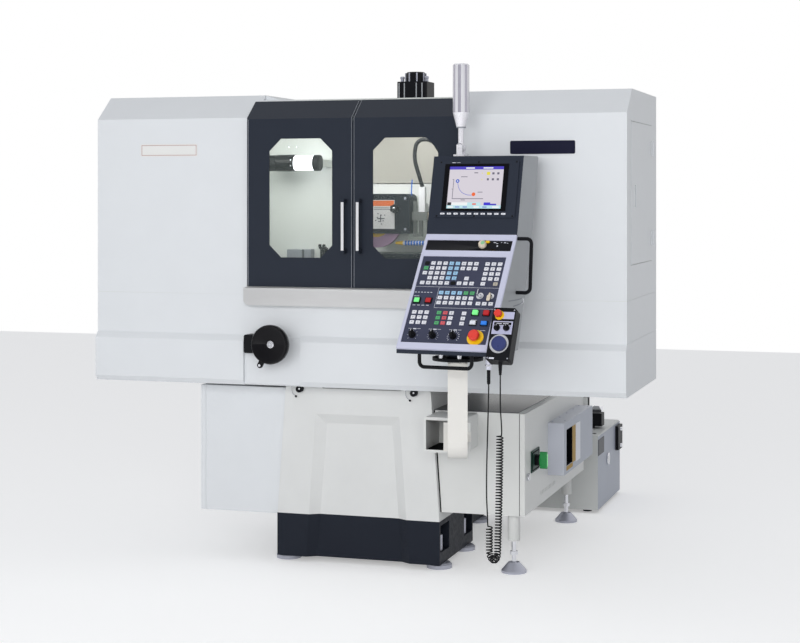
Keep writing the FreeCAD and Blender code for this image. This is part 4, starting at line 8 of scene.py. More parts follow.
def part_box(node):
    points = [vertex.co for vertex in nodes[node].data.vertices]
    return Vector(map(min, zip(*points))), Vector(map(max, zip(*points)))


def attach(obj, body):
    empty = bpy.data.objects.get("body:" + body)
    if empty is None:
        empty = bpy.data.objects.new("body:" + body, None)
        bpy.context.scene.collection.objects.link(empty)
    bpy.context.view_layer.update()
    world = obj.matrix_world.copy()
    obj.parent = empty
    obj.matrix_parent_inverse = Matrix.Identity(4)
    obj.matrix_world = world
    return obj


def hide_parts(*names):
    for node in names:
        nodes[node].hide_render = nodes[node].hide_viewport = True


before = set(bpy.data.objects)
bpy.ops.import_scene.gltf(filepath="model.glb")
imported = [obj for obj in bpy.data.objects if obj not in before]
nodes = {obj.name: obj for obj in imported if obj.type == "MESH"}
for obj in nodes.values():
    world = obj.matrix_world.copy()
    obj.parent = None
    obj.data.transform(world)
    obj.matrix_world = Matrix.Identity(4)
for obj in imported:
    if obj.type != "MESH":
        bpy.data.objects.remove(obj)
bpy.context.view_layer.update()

mm = 0.001

# Places are written in millimetres from the middle of the casing's front at floor level,
# x to the right, y to the back and z up, as the machine was drawn.
casingHalf = 1080
sillReach = 45
machineZero = Vector((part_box("casing_right")[1].x - casingHalf * mm,
                      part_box("door_sill")[0].y + sillReach * mm, 0))
machine = Matrix.Translation(machineZero) @ Matrix.Scale(mm, 4)

pendant = {"turn": -6.33, "x": 552, "y": -423, "foot": (-146.5, 920.7), "panelLength": 480.5,
           "panelLean": 35.33, "headLength": 293, "headLean": 14.22}
handUnit = {"x": 221, "y": -119, "z": 1070, "lean": 25}


def turned(degrees, axis):
    return Matrix.Rotation(math.radians(degrees), 4, axis)


def leaning(length, lean):
    return length * math.sin(math.radians(lean)), length * math.cos(math.radians(lean))


# The pendant's own space, and one for each of its faces: right, up the face, out of the face
pendantSpace = machine @ Matrix.Translation((pendant["x"], pendant["y"], 0)) @ turned(pendant["turn"], "Z")
run, rise = leaning(pendant["panelLength"], pendant["panelLean"])
seamPlace = (pendant["foot"][0] + run, pendant["foot"][1] + rise)
run, rise = leaning(pendant["headLength"], pendant["headLean"])
crownPlace = (seamPlace[0] + run, seamPlace[1] + rise)
panelSpace = (pendantSpace @ Matrix.Translation((0, *seamPlace)) @ turned(90 - pendant["panelLean"], "X"))
headSpace = (pendantSpace @ Matrix.Translation((0, *crownPlace)) @ turned(90 - pendant["headLean"], "X"))
handSpace = (pendantSpace @ Matrix.Translation((handUnit["x"], handUnit["y"], handUnit["z"]))
             @ turned(90 - handUnit["lean"], "X"))


def toLinear(hexText):
    values = [int(hexText[i:i + 2], 16) / 255 for i in (1, 3, 5)]
    return tuple(v / 12.92 if v < 0.04045 else ((v + 0.055) / 1.055) ** 2.4 for v in values) + (1.0,)


def addNode(tree, kind, settings=None, links=None):
    node = tree.nodes.new(kind)
    for key, value in (settings or {}).items():
        if isinstance(key, int) or key in node.inputs:
            node.inputs[key].default_value = value
        else:
            setattr(node, key, value)
    for key, source in (links or {}).items():
        tree.links.new(source, node.inputs[key])
    return node


def newMaterial(name, settings):
    material = bpy.data.materials.new(name)
    material.use_nodes = True
    tree = material.node_tree
    shader = tree.nodes["Principled BSDF"]
    for key, value in settings.items():
        shader.inputs[key].default_value = value
    return material, tree, shader


# Camera
camera = {"place": (2.13115, -6.85134, 1.459), "turn": 17.39, "lens": 75.91, "sensor": 36,
          "shiftY": -0.1596}


def makeCamera():
    data = bpy.data.cameras.new("camera")
    data.lens = camera["lens"]
    data.sensor_width = camera["sensor"]
    data.shift_y = camera["shiftY"]
    data.clip_end = 60
    holder = bpy.data.objects.new("camera", data)
    holder.location = camera["place"]
    holder.rotation_euler = (math.radians(90), 0, math.radians(camera["turn"]))
    bpy.context.scene.collection.objects.link(holder)
    bpy.context.scene.camera = holder


makeCamera()
print("camera set")


# Shapes
def addBox(bm, low, high, place=Matrix()):
    corners = [bm.verts.new(place @ Vector((x, y, z))) for x in (low[0], high[0])
               for y in (low[1], high[1]) for z in (low[2], high[2])]
    for ring in ((0, 1, 3, 2), (4, 6, 7, 5), (0, 4, 5, 1), (2, 3, 7, 6), (0, 2, 6, 4), (1, 5, 7, 3)):
        bm.faces.new([corners[i] for i in ring])


def addPlate(bm, outline, low, high, place=Matrix()):
    below = [bm.verts.new(place @ Vector((x, y, low))) for x, y in outline]
    above = [bm.verts.new(place @ Vector((x, y, high))) for x, y in outline]
    bm.faces.new(list(reversed(below)))
    bm.faces.new(above)
    for i in range(len(outline)):
        j = (i + 1) % len(outline)
        bm.faces.new((below[i], below[j], above[j], above[i]))


def addLathe(bm, profile, place=Matrix(), steps=32):
    rings = []
    for radius, height in profile:
        if radius < 1e-6:
            rings.append([bm.verts.new(place @ Vector((0, 0, height)))])
            continue
        turns = [2 * math.pi * i / steps for i in range(steps)]
        rings.append([bm.verts.new(place @ Vector((radius * math.cos(a), radius * math.sin(a), height)))
                      for a in turns])
    for low, high in zip(rings, rings[1:]):
        for i in range(steps):
            j = (i + 1) % steps
            corners = (low[i % len(low)], low[j % len(low)], high[j % len(high)], high[i % len(high)])
            bm.faces.new(list(dict.fromkeys(corners)))


def roundedOutline(x0, x1, y0, y1, radius, steps=5):
    points = []
    for x, y, start in ((x1 - radius, y1 - radius, 0), (x0 + radius, y1 - radius, 90),
                        (x0 + radius, y0 + radius, 180), (x1 - radius, y0 + radius, 270)):
        for i in range(steps + 1):
            angle = math.radians(start + 90 * i / steps)
            points.append((x + radius * math.cos(angle), y + radius * math.sin(angle)))
    return points


def aim(point, direction):
    return Matrix.Translation(point) @ Vector(direction).to_track_quat("Z", "Y").to_matrix().to_4x4()


def softenEdges(piece, width, limit=35):
    bevel = piece.modifiers.new("edges", "BEVEL")
    bevel.width = width * mm
    bevel.segments = 2
    bevel.limit_method = "ANGLE"
    bevel.angle_limit = math.radians(limit)
    bevel.harden_normals = True


def makePiece(name, bm, space, material, body, edge=0.0):
    bm.transform(space)
    bmesh.ops.recalc_face_normals(bm, faces=bm.faces)
    mesh = bpy.data.meshes.new(name)
    bm.to_mesh(mesh)
    bm.free()
    for face in mesh.polygons:
        face.use_smooth = True
    mesh.set_sharp_from_angle(angle=math.radians(35))
    mesh.materials.append(material)
    piece = bpy.data.objects.new(name, mesh)
    bpy.context.scene.collection.objects.link(piece)
    if edge:
        softenEdges(piece, edge)
    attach(piece, body)
    return piece


def makeHose(name, points, radius, space, material, body):
    curve = bpy.data.curves.new(name, "CURVE")
    curve.dimensions = "3D"
    curve.bevel_depth = radius * mm
    curve.bevel_resolution = 3
    curve.use_fill_caps = True
    spline = curve.splines.new("NURBS")
    spline.points.add(len(points) - 1)
    for knot, point in zip(spline.points, points):
        knot.co = (*(space @ Vector(point)), 1)
    spline.order_u = 3
    spline.use_endpoint_u = True
    curve.materials.append(material)
    piece = bpy.data.objects.new(name, curve)
    bpy.context.scene.collection.objects.link(piece)
    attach(piece, body)
    return piece


# Curly cord of the hand pendant; its points are in the pendant's space
curlyCord = {"wire": 4.8, "curlRadius": 10.5, "curls": 56, "pointsPerCurl": 16, "length": 4.507,
             "start": (224, -174, 846), "finish": (154, -100, 854), "lead": 90, "rise": 130,
             "leadOut": 12,
             "route": ((222, -172, 641), (219, -171, 430), (213, -169, 262), (212, -169, 231),
                       (200, -160, 214), (184, -149, 214), (172, -140, 231), (172, -140, 262),
                       (171.5, -140, 322))}


def readRoute(points):
    # The route's smooth line as its own spline gives it
    curve = bpy.data.curves.new("route", "CURVE")
    curve.dimensions = "3D"
    curve.resolution_u = 24
    spline = curve.splines.new("NURBS")
    spline.points.add(len(points) - 1)
    for knot, point in zip(spline.points, points):
        knot.co = (*point, 1)
    spline.order_u = 3
    spline.use_endpoint_u = True
    holder = bpy.data.objects.new("route", curve)
    bpy.context.scene.collection.objects.link(holder)
    line = bpy.data.meshes.new_from_object(holder)
    points = [vertex.co.copy() for vertex in line.vertices]
    bpy.data.objects.remove(holder)
    bpy.data.curves.remove(curve)
    bpy.data.meshes.remove(line)
    return points


def alongLine(points, distance):
    for a, b in zip(points, points[1:]):
        length = (b - a).length
        if distance <= length or b is points[-1]:
            return a.lerp(b, distance / length), (b - a).normalized()
        distance -= length


def makeCurlyCord(material, sleeveMaterial):
    route = [Vector(p) for p in curlyCord["route"]]
    line = readRoute(route)
    total = sum((b - a).length for a, b in zip(line, line[1:]))
    count = curlyCord["curls"] * curlyCord["pointsPerCurl"]
    side = (route[6] - route[3]).cross(Vector((0, 0, 1))).normalized()
    wire = []
    for i in range(count + 1):
        centre, along = alongLine(line, min(total * i / count, total - 1e-6))
        first = along.cross(side).normalized()
        second = along.cross(first)
        angle = 2 * math.pi * i / curlyCord["pointsPerCurl"]
        wire.append(centre + (first * math.cos(angle) + second * math.sin(angle)) * curlyCord["curlRadius"])
    start, finish = Vector(curlyCord["start"]), Vector(curlyCord["finish"])
    up = Vector((0, 0, 1))
    lead = curlyCord["lead"]
    before = [start, start - up * 60, Vector((start.x, start.y, wire[0].z + lead)), wire[0] + up * 30]
    rise = Vector((route[-1].x - curlyCord["leadOut"], route[-1].y, wire[-1].z + curlyCord["rise"]))
    after = [wire[-1] + up * 30, rise, finish - up * lead, finish - up * 30, finish]
    cord = makeHose("curlyCord", before + wire + after, curlyCord["wire"] / 2, pendantSpace, material, "pendant")
    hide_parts("hand_pendant_cord")
    bm = bmesh.new()
    grip = [(2.5, 0), (6.2, 0), (6.4, -3), (6.0, -46), (4.4, -50), (2.5, -50)]
    addLathe(bm, grip, Matrix.Translation(finish - up * 0.2), 20)
    sleeve = makePiece("cordSleeve", bm, pendantSpace, sleeveMaterial, "pendant")


# Finishes. Grain is the size of the surface's texture in millimetres, relief its depth, tone how far the
# colour drifts over a hand's width, and pull stretches the grain along one direction. Sheen under 0.5 is for
# matt coats, which give back less of the pale studio.
finishes = {
    # Powder coat on folded sheet steel: satin, with a fine orange peel in its highlights
    "casingEnamel": {"colour": "#E0E3E6", "tone": 0.02, "roughness": 0.42, "grain": 3, "relief": 0.05},
    "cabinetEnamel": {"colour": "#DCDDDB", "tone": 0.03, "roughness": 0.42, "grain": 3, "relief": 0.05},
    "tankEnamel": {"colour": "#D9DBD9", "tone": 0.03, "roughness": 0.45, "grain": 3, "relief": 0.06},
    "coolerEnamel": {"colour": "#C6C9D3", "tone": 0.03, "roughness": 0.4, "grain": 3, "relief": 0.05},
    "armEnamel": {"colour": "#E6E4DF", "tone": 0.03, "roughness": 0.45, "grain": 3, "relief": 0.06},
    "doorEnamel": {"colour": "#2C313B", "sheen": 0.12, "tone": 0.06, "roughness": 0.4, "grain": 2.5,
                   "relief": 0.06},
    "housingEnamel": {"colour": "#A6A9AC", "sheen": 0.2, "tone": 0.04, "roughness": 0.4, "grain": 2,
                      "relief": 0.04},
    "headEnamel": {"colour": "#2D323D", "sheen": 0.12, "tone": 0.05, "roughness": 0.42, "grain": 2, "relief": 0.05},
    "frameEnamel": {"colour": "#C9CBE0", "tone": 0.03, "roughness": 0.38, "grain": 2, "relief": 0.03},
    "liningEnamel": {"colour": "#D9DDD9", "tone": 0.03, "roughness": 0.5, "grain": 3, "relief": 0.05},
    # Filled and sprayed cast iron: the skin still rolls a little over the sand-cast surface
    "castingEnamel": {"colour": "#DDDEDD", "tone": 0.04, "roughness": 0.5, "grain": 14, "relief": 0.5},
    "plinthEnamel": {"colour": "#22262F", "sheen": 0.12, "tone": 0.06, "roughness": 0.5, "grain": 12,
                     "relief": 0.3},
    "guardEnamel": {"colour": "#1B2029", "sheen": 0.15, "tone": 0.06, "roughness": 0.45, "grain": 2,
                    "relief": 0.05},
    # Brushed stainless sheet: long fine lines, drawn 2 mm wide so that they show
    "sillSteel": {"colour": "#CFCFCF", "tone": 0.16, "roughness": 0.34, "metallic": 1, "grain": 2,
                  "relief": 0.03, "pull": (0.02, 1, 1)},
    "traySteel": {"colour": "#A9ABAC", "tone": 0.1, "roughness": 0.4, "metallic": 1, "grain": 3,
                  "relief": 0.03, "pull": (0.05, 1, 1)},
    "slideCoverSteel": {"colour": "#B9B6AE", "tone": 0.08, "roughness": 0.45, "metallic": 0.35, "grain": 2,
                        "relief": 0.04, "pull": (1, 1, 0.03)},
    # Ground and scraped steel: bright, with short cross marks
    "groundSteel": {"colour": "#B2B4B6", "tone": 0.1, "roughness": 0.28, "metallic": 1, "grain": 1.5,
                    "relief": 0.02, "pull": (0.2, 1, 1)},
    "chuckSteel": {"colour": "#8B8E92", "tone": 0.1, "roughness": 0.3, "metallic": 1, "grain": 1.5,
                   "relief": 0.03, "pull": (0.1, 1, 1)},
    "darkBar": {"colour": "#7C807C", "tone": 0.08, "roughness": 0.45, "metallic": 0.3, "grain": 2, "relief": 0.04},
    # Chrome and zinc plate: chrome is clear as a mirror, zinc on the cast feet is grey and grainy
    "chromePlate": {"colour": "#DCDDE2", "tone": 0.04, "roughness": 0.1, "metallic": 1, "grain": 6, "relief": 0.01},
    "satinAluminium": {"colour": "#E8E8EA", "tone": 0.04, "roughness": 0.35, "metallic": 0.7, "grain": 2,
                       "relief": 0.02, "pull": (1, 1, 0.05)},
    "zincCasting": {"colour": "#B6B8C4", "tone": 0.12, "roughness": 0.42, "metallic": 0.6, "grain": 4,
                    "relief": 0.25},
    # Moulded plastics: matt ones carry the spark texture of their mould, drawn at 1 mm
    "blackPlastic": {"colour": "#121317", "sheen": 0.15, "tone": 0.08, "roughness": 0.45, "grain": 1,
                     "relief": 0.05},
    "glossBlack": {"colour": "#08070C", "sheen": 0.2, "tone": 0.05, "roughness": 0.12, "grain": 8, "relief": 0.02},
    "redPlastic": {"colour": "#DF3A2E", "tone": 0.05, "roughness": 0.3, "grain": 2, "relief": 0.02},
    "yellowPlastic": {"colour": "#F2C41B", "tone": 0.04, "roughness": 0.35, "grain": 2, "relief": 0.02},
    "greenPlastic": {"colour": "#1F8A45", "tone": 0.06, "roughness": 0.3, "grain": 2, "relief": 0.02},
    "switchPlastic": {"colour": "#1D3C33", "sheen": 0.2, "tone": 0.08, "roughness": 0.4, "grain": 2,
                      "relief": 0.03},
    "bluePlastic": {"colour": "#2C6FD0", "tone": 0.06, "roughness": 0.3, "grain": 2, "relief": 0.02},
    "dialBlue": {"colour": "#333C6E", "sheen": 0.35, "tone": 0.08, "roughness": 0.32, "grain": 2, "relief": 0.03},
    "creamPlastic": {"colour": "#D9CDB9", "tone": 0.05, "roughness": 0.4, "grain": 2, "relief": 0.02},
    "whitePlastic": {"colour": "#E9EAEC", "tone": 0.03, "roughness": 0.4, "grain": 2, "relief": 0.02},
    "hosePlastic": {"colour": "#3F78D2", "tone": 0.05, "roughness": 0.35, "grain": 2, "relief": 0.02},
    # Polyurethane cable jacket and rubber hose: black with a soft sheen
    "cordJacket": {"colour": "#101114", "sheen": 0.2, "tone": 0.06, "roughness": 0.33, "grain": 2, "relief": 0.02},
    "hoseRubber": {"colour": "#141518", "sheen": 0.25, "tone": 0.1, "roughness": 0.4, "grain": 3, "relief": 0.06},
    "matRubber": {"colour": "#46494D", "sheen": 0.3, "tone": 0.08, "roughness": 0.3, "grain": 4, "relief": 0.08},
    # Printed polyester foil over the keys, and the smoked acrylic strip above them
    "keyFoil": {"colour": "#434659", "sheen": 0.1, "tone": 0.04, "roughness": 0.5, "grain": 1, "relief": 0.03},
    "smokedAcrylic": {"colour": "#0B0C14", "sheen": 0.15, "tone": 0.04, "roughness": 0.12, "grain": 8,
                      "relief": 0.01},
    "printWhite": {"colour": "#D6D8E2", "tone": 0.02, "roughness": 0.5, "grain": 2, "relief": 0.01},
    "printDark": {"colour": "#4A4C55", "tone": 0.02, "roughness": 0.5, "grain": 2, "relief": 0.01},
    "labelFilm": {"colour": "#B9BAD6", "tone": 0.03, "roughness": 0.4, "grain": 2, "relief": 0.02},
    "platePaper": {"colour": "#E6E6E4", "tone": 0.03, "roughness": 0.5, "grain": 2, "relief": 0.02},
    "plateNavy": {"colour": "#191A30", "sheen": 0.15, "tone": 0.04, "roughness": 0.35, "grain": 2, "relief": 0.02},
    "plateOrange": {"colour": "#F07A3C", "tone": 0.03, "roughness": 0.45, "grain": 2, "relief": 0.02},
    # Painted shade: a darker copy of the lavender enamel for faces turned to the right, on the cooler and the tank
    "sideShadeEnamel": {"colour": "#A9AFBC", "tone": 0.04, "roughness": 0.42, "grain": 3, "relief": 0.05},
    "greyEnamel": {"colour": "#8F949B", "tone": 0.04, "roughness": 0.45, "grain": 3, "relief": 0.05},
    "tagGrey": {"colour": "#3E4147", "sheen": 0.2, "tone": 0.05, "roughness": 0.4, "grain": 2, "relief": 0.02},
    "plateRed": {"colour": "#B99A98", "tone": 0.03, "roughness": 0.45, "grain": 2, "relief": 0.02},
    # Painted shade for the depths of slots and folds, where no light comes back
    "shadowBlack": {"colour": "#0D0E11", "sheen": 0.05, "tone": 0.05, "roughness": 0.8, "grain": 4, "relief": 0.1},
    # Painted highlight for lit edges: a bright strip, brighter than the painted sheet around it
    "paintedEdgeHighlight": {"colour": "#9A9EA5", "tone": 0.03, "roughness": 0.3, "metallic": 0.5, "grain": 2,
                      "relief": 0.02, "pull": (1, 1, 0.03)},
    "matBlack": {"colour": "#141519", "sheen": 0.12, "tone": 0.05, "roughness": 0.55, "grain": 2, "relief": 0.04},
    "bezelBlack": {"colour": "#07070C", "sheen": 0.12, "tone": 0.04, "roughness": 0.3, "grain": 4, "relief": 0.01},
    "paleGreen": {"colour": "#8FC79A", "tone": 0.04, "roughness": 0.3, "grain": 2, "relief": 0.02},
    "towerWhite": {"colour": "#EEEDF2", "tone": 0.03, "roughness": 0.3, "metallic": 0.3, "grain": 3,
                   "relief": 0.02},
    # Painted reflection: dark streaks on the signal tower's lens
    "lensReflectionStreak": {"colour": "#B3B1BC", "tone": 0.05, "roughness": 0.2, "metallic": 0.5, "grain": 4, "relief": 0.02},
    "silverSocket": {"colour": "#D5D7E4", "tone": 0.04, "roughness": 0.3, "metallic": 0.5, "grain": 2,
                     "relief": 0.02},
    "filterBrown": {"colour": "#B49455", "tone": 0.15, "roughness": 0.7, "grain": 3, "relief": 0.3},
    # Keycaps: two-shot moulded, matt tops
    "keyWhite": {"colour": "#E4E5EC", "tone": 0.03, "roughness": 0.45, "grain": 1, "relief": 0.03},
    "keySky": {"colour": "#9CC7E6", "tone": 0.03, "roughness": 0.45, "grain": 1, "relief": 0.03},
    "keyGreen": {"colour": "#4FA56B", "tone": 0.04, "roughness": 0.45, "grain": 1, "relief": 0.03},
    "keyRed": {"colour": "#CF5A62", "tone": 0.04, "roughness": 0.45, "grain": 1, "relief": 0.03},
    "keySand": {"colour": "#B9B2A4", "tone": 0.04, "roughness": 0.45, "grain": 1, "relief": 0.03},
}
palette = {}


def scaled(colour, factor):
    return tuple(min(1.0, c * factor) for c in colour[:3]) + (1.0,)


def mixFinish(name, recipe):
    material, tree, shader = newMaterial(name, {"Metallic": recipe.get("metallic", 0.0),
                                                "Specular IOR Level": recipe.get("sheen", 0.5)})
    place = addNode(tree, "ShaderNodeTexCoord")
    stretch = addNode(tree, "ShaderNodeMapping", {"Scale": recipe.get("pull", (1, 1, 1))},
                      {"Vector": place.outputs["Object"]})
    grain = addNode(tree, "ShaderNodeTexNoise", {"Scale": 1 / (recipe["grain"] * mm), "Detail": 2.0},
                    {"Vector": stretch.outputs["Vector"]})
    drift = addNode(tree, "ShaderNodeTexNoise", {"Scale": 1 / (120 * mm), "Detail": 3.0},
                    {"Vector": stretch.outputs["Vector"]})
    colour = toLinear(recipe["colour"])
    tint = addNode(tree, "ShaderNodeMix", {"data_type": "RGBA", 6: scaled(colour, 1 - recipe["tone"]),
                                           7: scaled(colour, 1 + recipe["tone"])},
                   {0: drift.outputs["Fac"]})
    wear = addNode(tree, "ShaderNodeMapRange", {"From Min": 0.3, "From Max": 0.7,
                                                "To Min": recipe["roughness"] * 0.85,
                                                "To Max": min(1.0, recipe["roughness"] * 1.15)},
                   {"Value": grain.outputs["Fac"]})
    bump = addNode(tree, "ShaderNodeBump", {"Strength": 0.6, "Distance": recipe["relief"] * mm},
                   {"Height": grain.outputs["Fac"]})
    tree.links.new(tint.outputs[2], shader.inputs["Base Color"])
    tree.links.new(wear.outputs["Result"], shader.inputs["Roughness"])
    tree.links.new(bump.outputs["Normal"], shader.inputs["Normal"])
    palette[name] = material


def makePane():
    # Laminated safety glass: almost clear, a breath of grey-green and a soft reflection
    material, tree, shader = newMaterial("safetyGlass", {"Base Color": toLinear("#C9D6D2"), "Alpha": 0.05,
                                                         "IOR": 1.5})
    place = addNode(tree, "ShaderNodeTexCoord")
    film = addNode(tree, "ShaderNodeTexNoise", {"Scale": 1 / (60 * mm), "Detail": 4.0},
                   {"Vector": place.outputs["Object"]})
    haze = addNode(tree, "ShaderNodeMapRange", {"From Min": 0.35, "From Max": 0.75, "To Min": 0.04, "To Max": 0.16},
                   {"Value": film.outputs["Fac"]})
    tree.links.new(haze.outputs["Result"], shader.inputs["Roughness"])
    palette["safetyGlass"] = material


def makeGritWheel():
    # Vitrified pink alumina: open grains about 0.5 mm across, drawn at 1.5 mm so that they show
    material, tree, shader = newMaterial("pinkAlumina", {"Roughness": 0.85})
    place = addNode(tree, "ShaderNodeTexCoord")
    grit = addNode(tree, "ShaderNodeTexVoronoi", {"Scale": 1 / (1.5 * mm)}, {"Vector": place.outputs["Object"]})
    tint = addNode(tree, "ShaderNodeMix", {"data_type": "RGBA", 6: toLinear("#B98FB4"), 7: toLinear("#D3B2CE")},
                   {0: grit.outputs["Distance"]})
    bump = addNode(tree, "ShaderNodeBump", {"Strength": 0.8, "Distance": 0.4 * mm},
                   {"Height": grit.outputs["Distance"]})
    tree.links.new(tint.outputs[2], shader.inputs["Base Color"])
    tree.links.new(bump.outputs["Normal"], shader.inputs["Normal"])
    palette["pinkAlumina"] = material


def makeLit(name, hexText, strength, base="#08080A", roughness=0.35):
    # A surface with light behind it, such as a lamp tube, a lit key or a screen's pixels
    material, tree, shader = newMaterial(name, {"Base Color": toLinear(base), "Emission Color": toLinear(hexText),
                                                "Emission Strength": strength})
    place = addNode(tree, "ShaderNodeTexCoord")
    frost = addNode(tree, "ShaderNodeTexNoise", {"Scale": 1 / (3 * mm)}, {"Vector": place.outputs["Object"]})
    soft = addNode(tree, "ShaderNodeMapRange", {"To Min": roughness * 0.8, "To Max": roughness * 1.2},
                   {"Value": frost.outputs["Fac"]})
    tree.links.new(soft.outputs["Result"], shader.inputs["Roughness"])
    palette[name] = material


def makeLens():
    # Clear acrylic over silvered reflectors, with painted reflection: bright upright streaks in its colour
    material, tree, shader = newMaterial("silveredAcrylic", {"Metallic": 0.2, "Coat Weight": 1.0,
                                                             "Coat Roughness": 0.05})
    place = addNode(tree, "ShaderNodeTexCoord")
    streakStretch = addNode(tree, "ShaderNodeMapping", {"Scale": (1, 1, 0.02)}, {"Vector": place.outputs["Object"]})
    streak = addNode(tree, "ShaderNodeTexNoise", {"Scale": 1 / (9 * mm), "Detail": 2.0},
                     {"Vector": streakStretch.outputs["Vector"]})
    tint = addNode(tree, "ShaderNodeMix", {"data_type": "RGBA", 6: toLinear("#C4C3CC"), 7: toLinear("#FBFAFC")},
                   {0: streak.outputs["Fac"]})
    soft = addNode(tree, "ShaderNodeMapRange", {"To Min": 0.1, "To Max": 0.3}, {"Value": streak.outputs["Fac"]})
    tree.links.new(tint.outputs[2], shader.inputs["Base Color"])
    tree.links.new(soft.outputs["Result"], shader.inputs["Roughness"])
    palette["silveredAcrylic"] = material


for name, recipe in finishes.items():
    mixFinish(name, recipe)
makePane()
makeGritWheel()
makeLens()
makeLit("lampTube", "#F7FBFF", 4.0, "#D8DCE0")
makeLit("litGreen", "#8DF59A", 0.5, "#58C46A")
makeLit("litRed", "#C81018", 0.35, "#8E1018")
makeLit("litWhite", "#E6EAF0", 0.25, "#C9CDD6")
makeLit("litBlue", "#2F86EE", 0.4, "#2465BE")
for name, hexText in (("screenGround", "#D9D3DC"), ("screenTitle", "#4A3FC0"), ("screenWhite", "#F2F4F6"),
                      ("screenCyan", "#BFE6EE"), ("screenBlue", "#3A2FD0"), ("screenInk", "#6A6678"),
                      ("screenBlack", "#15161C"), ("screenCurve", "#5A68C8"), ("screenDot", "#3C5FC8"),
                      ("screenOrange", "#F0682C"), ("screenYellow", "#E8DC3C"), ("screenRed", "#E87C70")):
    makeLit(name, hexText, 0.95)
print("finishes mixed:", len(palette))


# Finish and edge width in millimetres of each part of the frame
dressing = {
    "base_casting": ("castingEnamel", 3), "base_plinth": ("plinthEnamel", 2), "levelling_feet": ("zincCasting", 0),
    "left_side_cover": ("casingEnamel", 1), "electrical_cabinet": ("cabinetEnamel", 1),
    "cabinet_door": ("cabinetEnamel", 1), "heat_exchanger": ("coolerEnamel", 1),
    "main_switch_handle": ("greenPlastic", 1), "door_latch": ("chromePlate", 0.5),
    "casing_left": ("casingEnamel", 1.5), "casing_right": ("casingEnamel", 1.5),
    "side_access_door": ("casingEnamel", 1), "lower_casing": ("casingEnamel", 1.5),
    "rear_casing": ("casingEnamel", 1.5), "door_sill": ("sillSteel", 0.6), "drip_tray": ("traySteel", 0),
    "work_lamp": ("blackPlastic", 0.5), "door_left": ("doorEnamel", 1.2), "window_left": ("safetyGlass", 0),
    "door_right": ("doorEnamel", 1.2), "window_right": ("safetyGlass", 0), "column_casting": ("castingEnamel", 2),
    "z_motor": ("blackPlastic", 1), "head_screw": ("groundSteel", 0), "way_cover_upper": ("slideCoverSteel", 0),
    "way_cover_lower": ("slideCoverSteel", 0), "spindle_head": ("castingEnamel", 2),
    "wheel_guard": ("guardEnamel", 1), "guard_knob": ("blackPlastic", 0.8), "coolant_nozzle": ("darkBar", 0.6),
    "spindle_shaft": ("groundSteel", 0.8), "grinding_wheel": ("pinkAlumina", 0), "saddle": ("castingEnamel", 2),
    "saddle_screw": ("groundSteel", 0), "table": ("castingEnamel", 2), "table_screw": ("groundSteel", 0),
    "magnetic_chuck": ("chuckSteel", 0.6), "handwheel_bracket": ("blackPlastic", 1), "handwheel": ("glossBlack", 1),
    "arm_bracket": ("cabinetEnamel", 1), "pendant_arm": ("armEnamel", 1), "pendant_housing": ("headEnamel", 1.2),
    "pendant_panel": ("frameEnamel", 0.6), "display_unit": ("headEnamel", 0.6),
    "pendant_fittings": ("blackPlastic", 0), "signal_tower": ("silveredAcrylic", 0),
    "emergency_stop": ("redPlastic", 0.8), "mode_knob": ("blackPlastic", 0.5), "speed_knob": ("blackPlastic", 0.5),
    "feed_knob": ("blackPlastic", 0.5), "key_switch": ("chromePlate", 0.3), "start_button": ("litGreen", 0.8),
    "hold_button": ("litRed", 0.8), "hand_pendant": ("blackPlastic", 1.2), "hand_pendant_dial": ("dialBlue", 0.6),
    "hand_pendant_stop": ("redPlastic", 0.8), "axis_selector": ("blackPlastic", 0.5),
    "step_selector": ("blackPlastic", 0.5), "coolant_tank": ("tankEnamel", 1.2),
}


def dressNodes():
    for name, (finish, edge) in dressing.items():
        part = nodes[name]
        part.data.materials.clear()
        part.data.materials.append(palette[finish])
        if edge:
            weld = part.modifiers.new("weld", "WELD")
            weld.merge_threshold = 0.01 * mm
            softenEdges(part, edge)


def paintFaces(nodeName, finish, boxes, space=machine, facing=None, spread=0.5):
    # Gives another finish to the faces of a part that lie in boxes of the given space
    mesh = nodes[nodeName].data
    mesh.materials.append(palette[finish])
    number = len(mesh.materials) - 1
    back = space.inverted()
    way = (space.to_3x3() @ Vector(facing)).normalized() if facing else None
    for face in mesh.polygons:
        spot = back @ face.center
        if way is not None and face.normal.dot(way) < spread:
            continue
        if any(all(a <= b <= c for a, b, c in zip(low, spot, high)) for low, high in boxes):
            face.material_index = number


def makeBlocks(name, blocks, space, finish, body, edge=0.4):
    bm = bmesh.new()
    for low, high in blocks:
        addBox(bm, low, high)
    return makePiece(name, bm, space, palette[finish], body, edge)


def makeTurned(name, profile, places, space, finish, body, edge=0.0, steps=24):
    # One profile turned at several places; each place is a point and the way its axis looks
    bm = bmesh.new()
    for point, way in places:
        addLathe(bm, profile, aim(point, way), steps)
    return makePiece(name, bm, space, palette[finish], body, edge)


dressNodes()
print("parts dressed:", len(dressing))
makeCurlyCord(palette["cordJacket"], palette["blackPlastic"])
print("cord hung")


# Enclosure: bare name plates, seam strips, handles, seals
plates = {"left": (-887, -639), "right": (639, 887), "low": 1608, "high": 1658, "frame": 2.5}


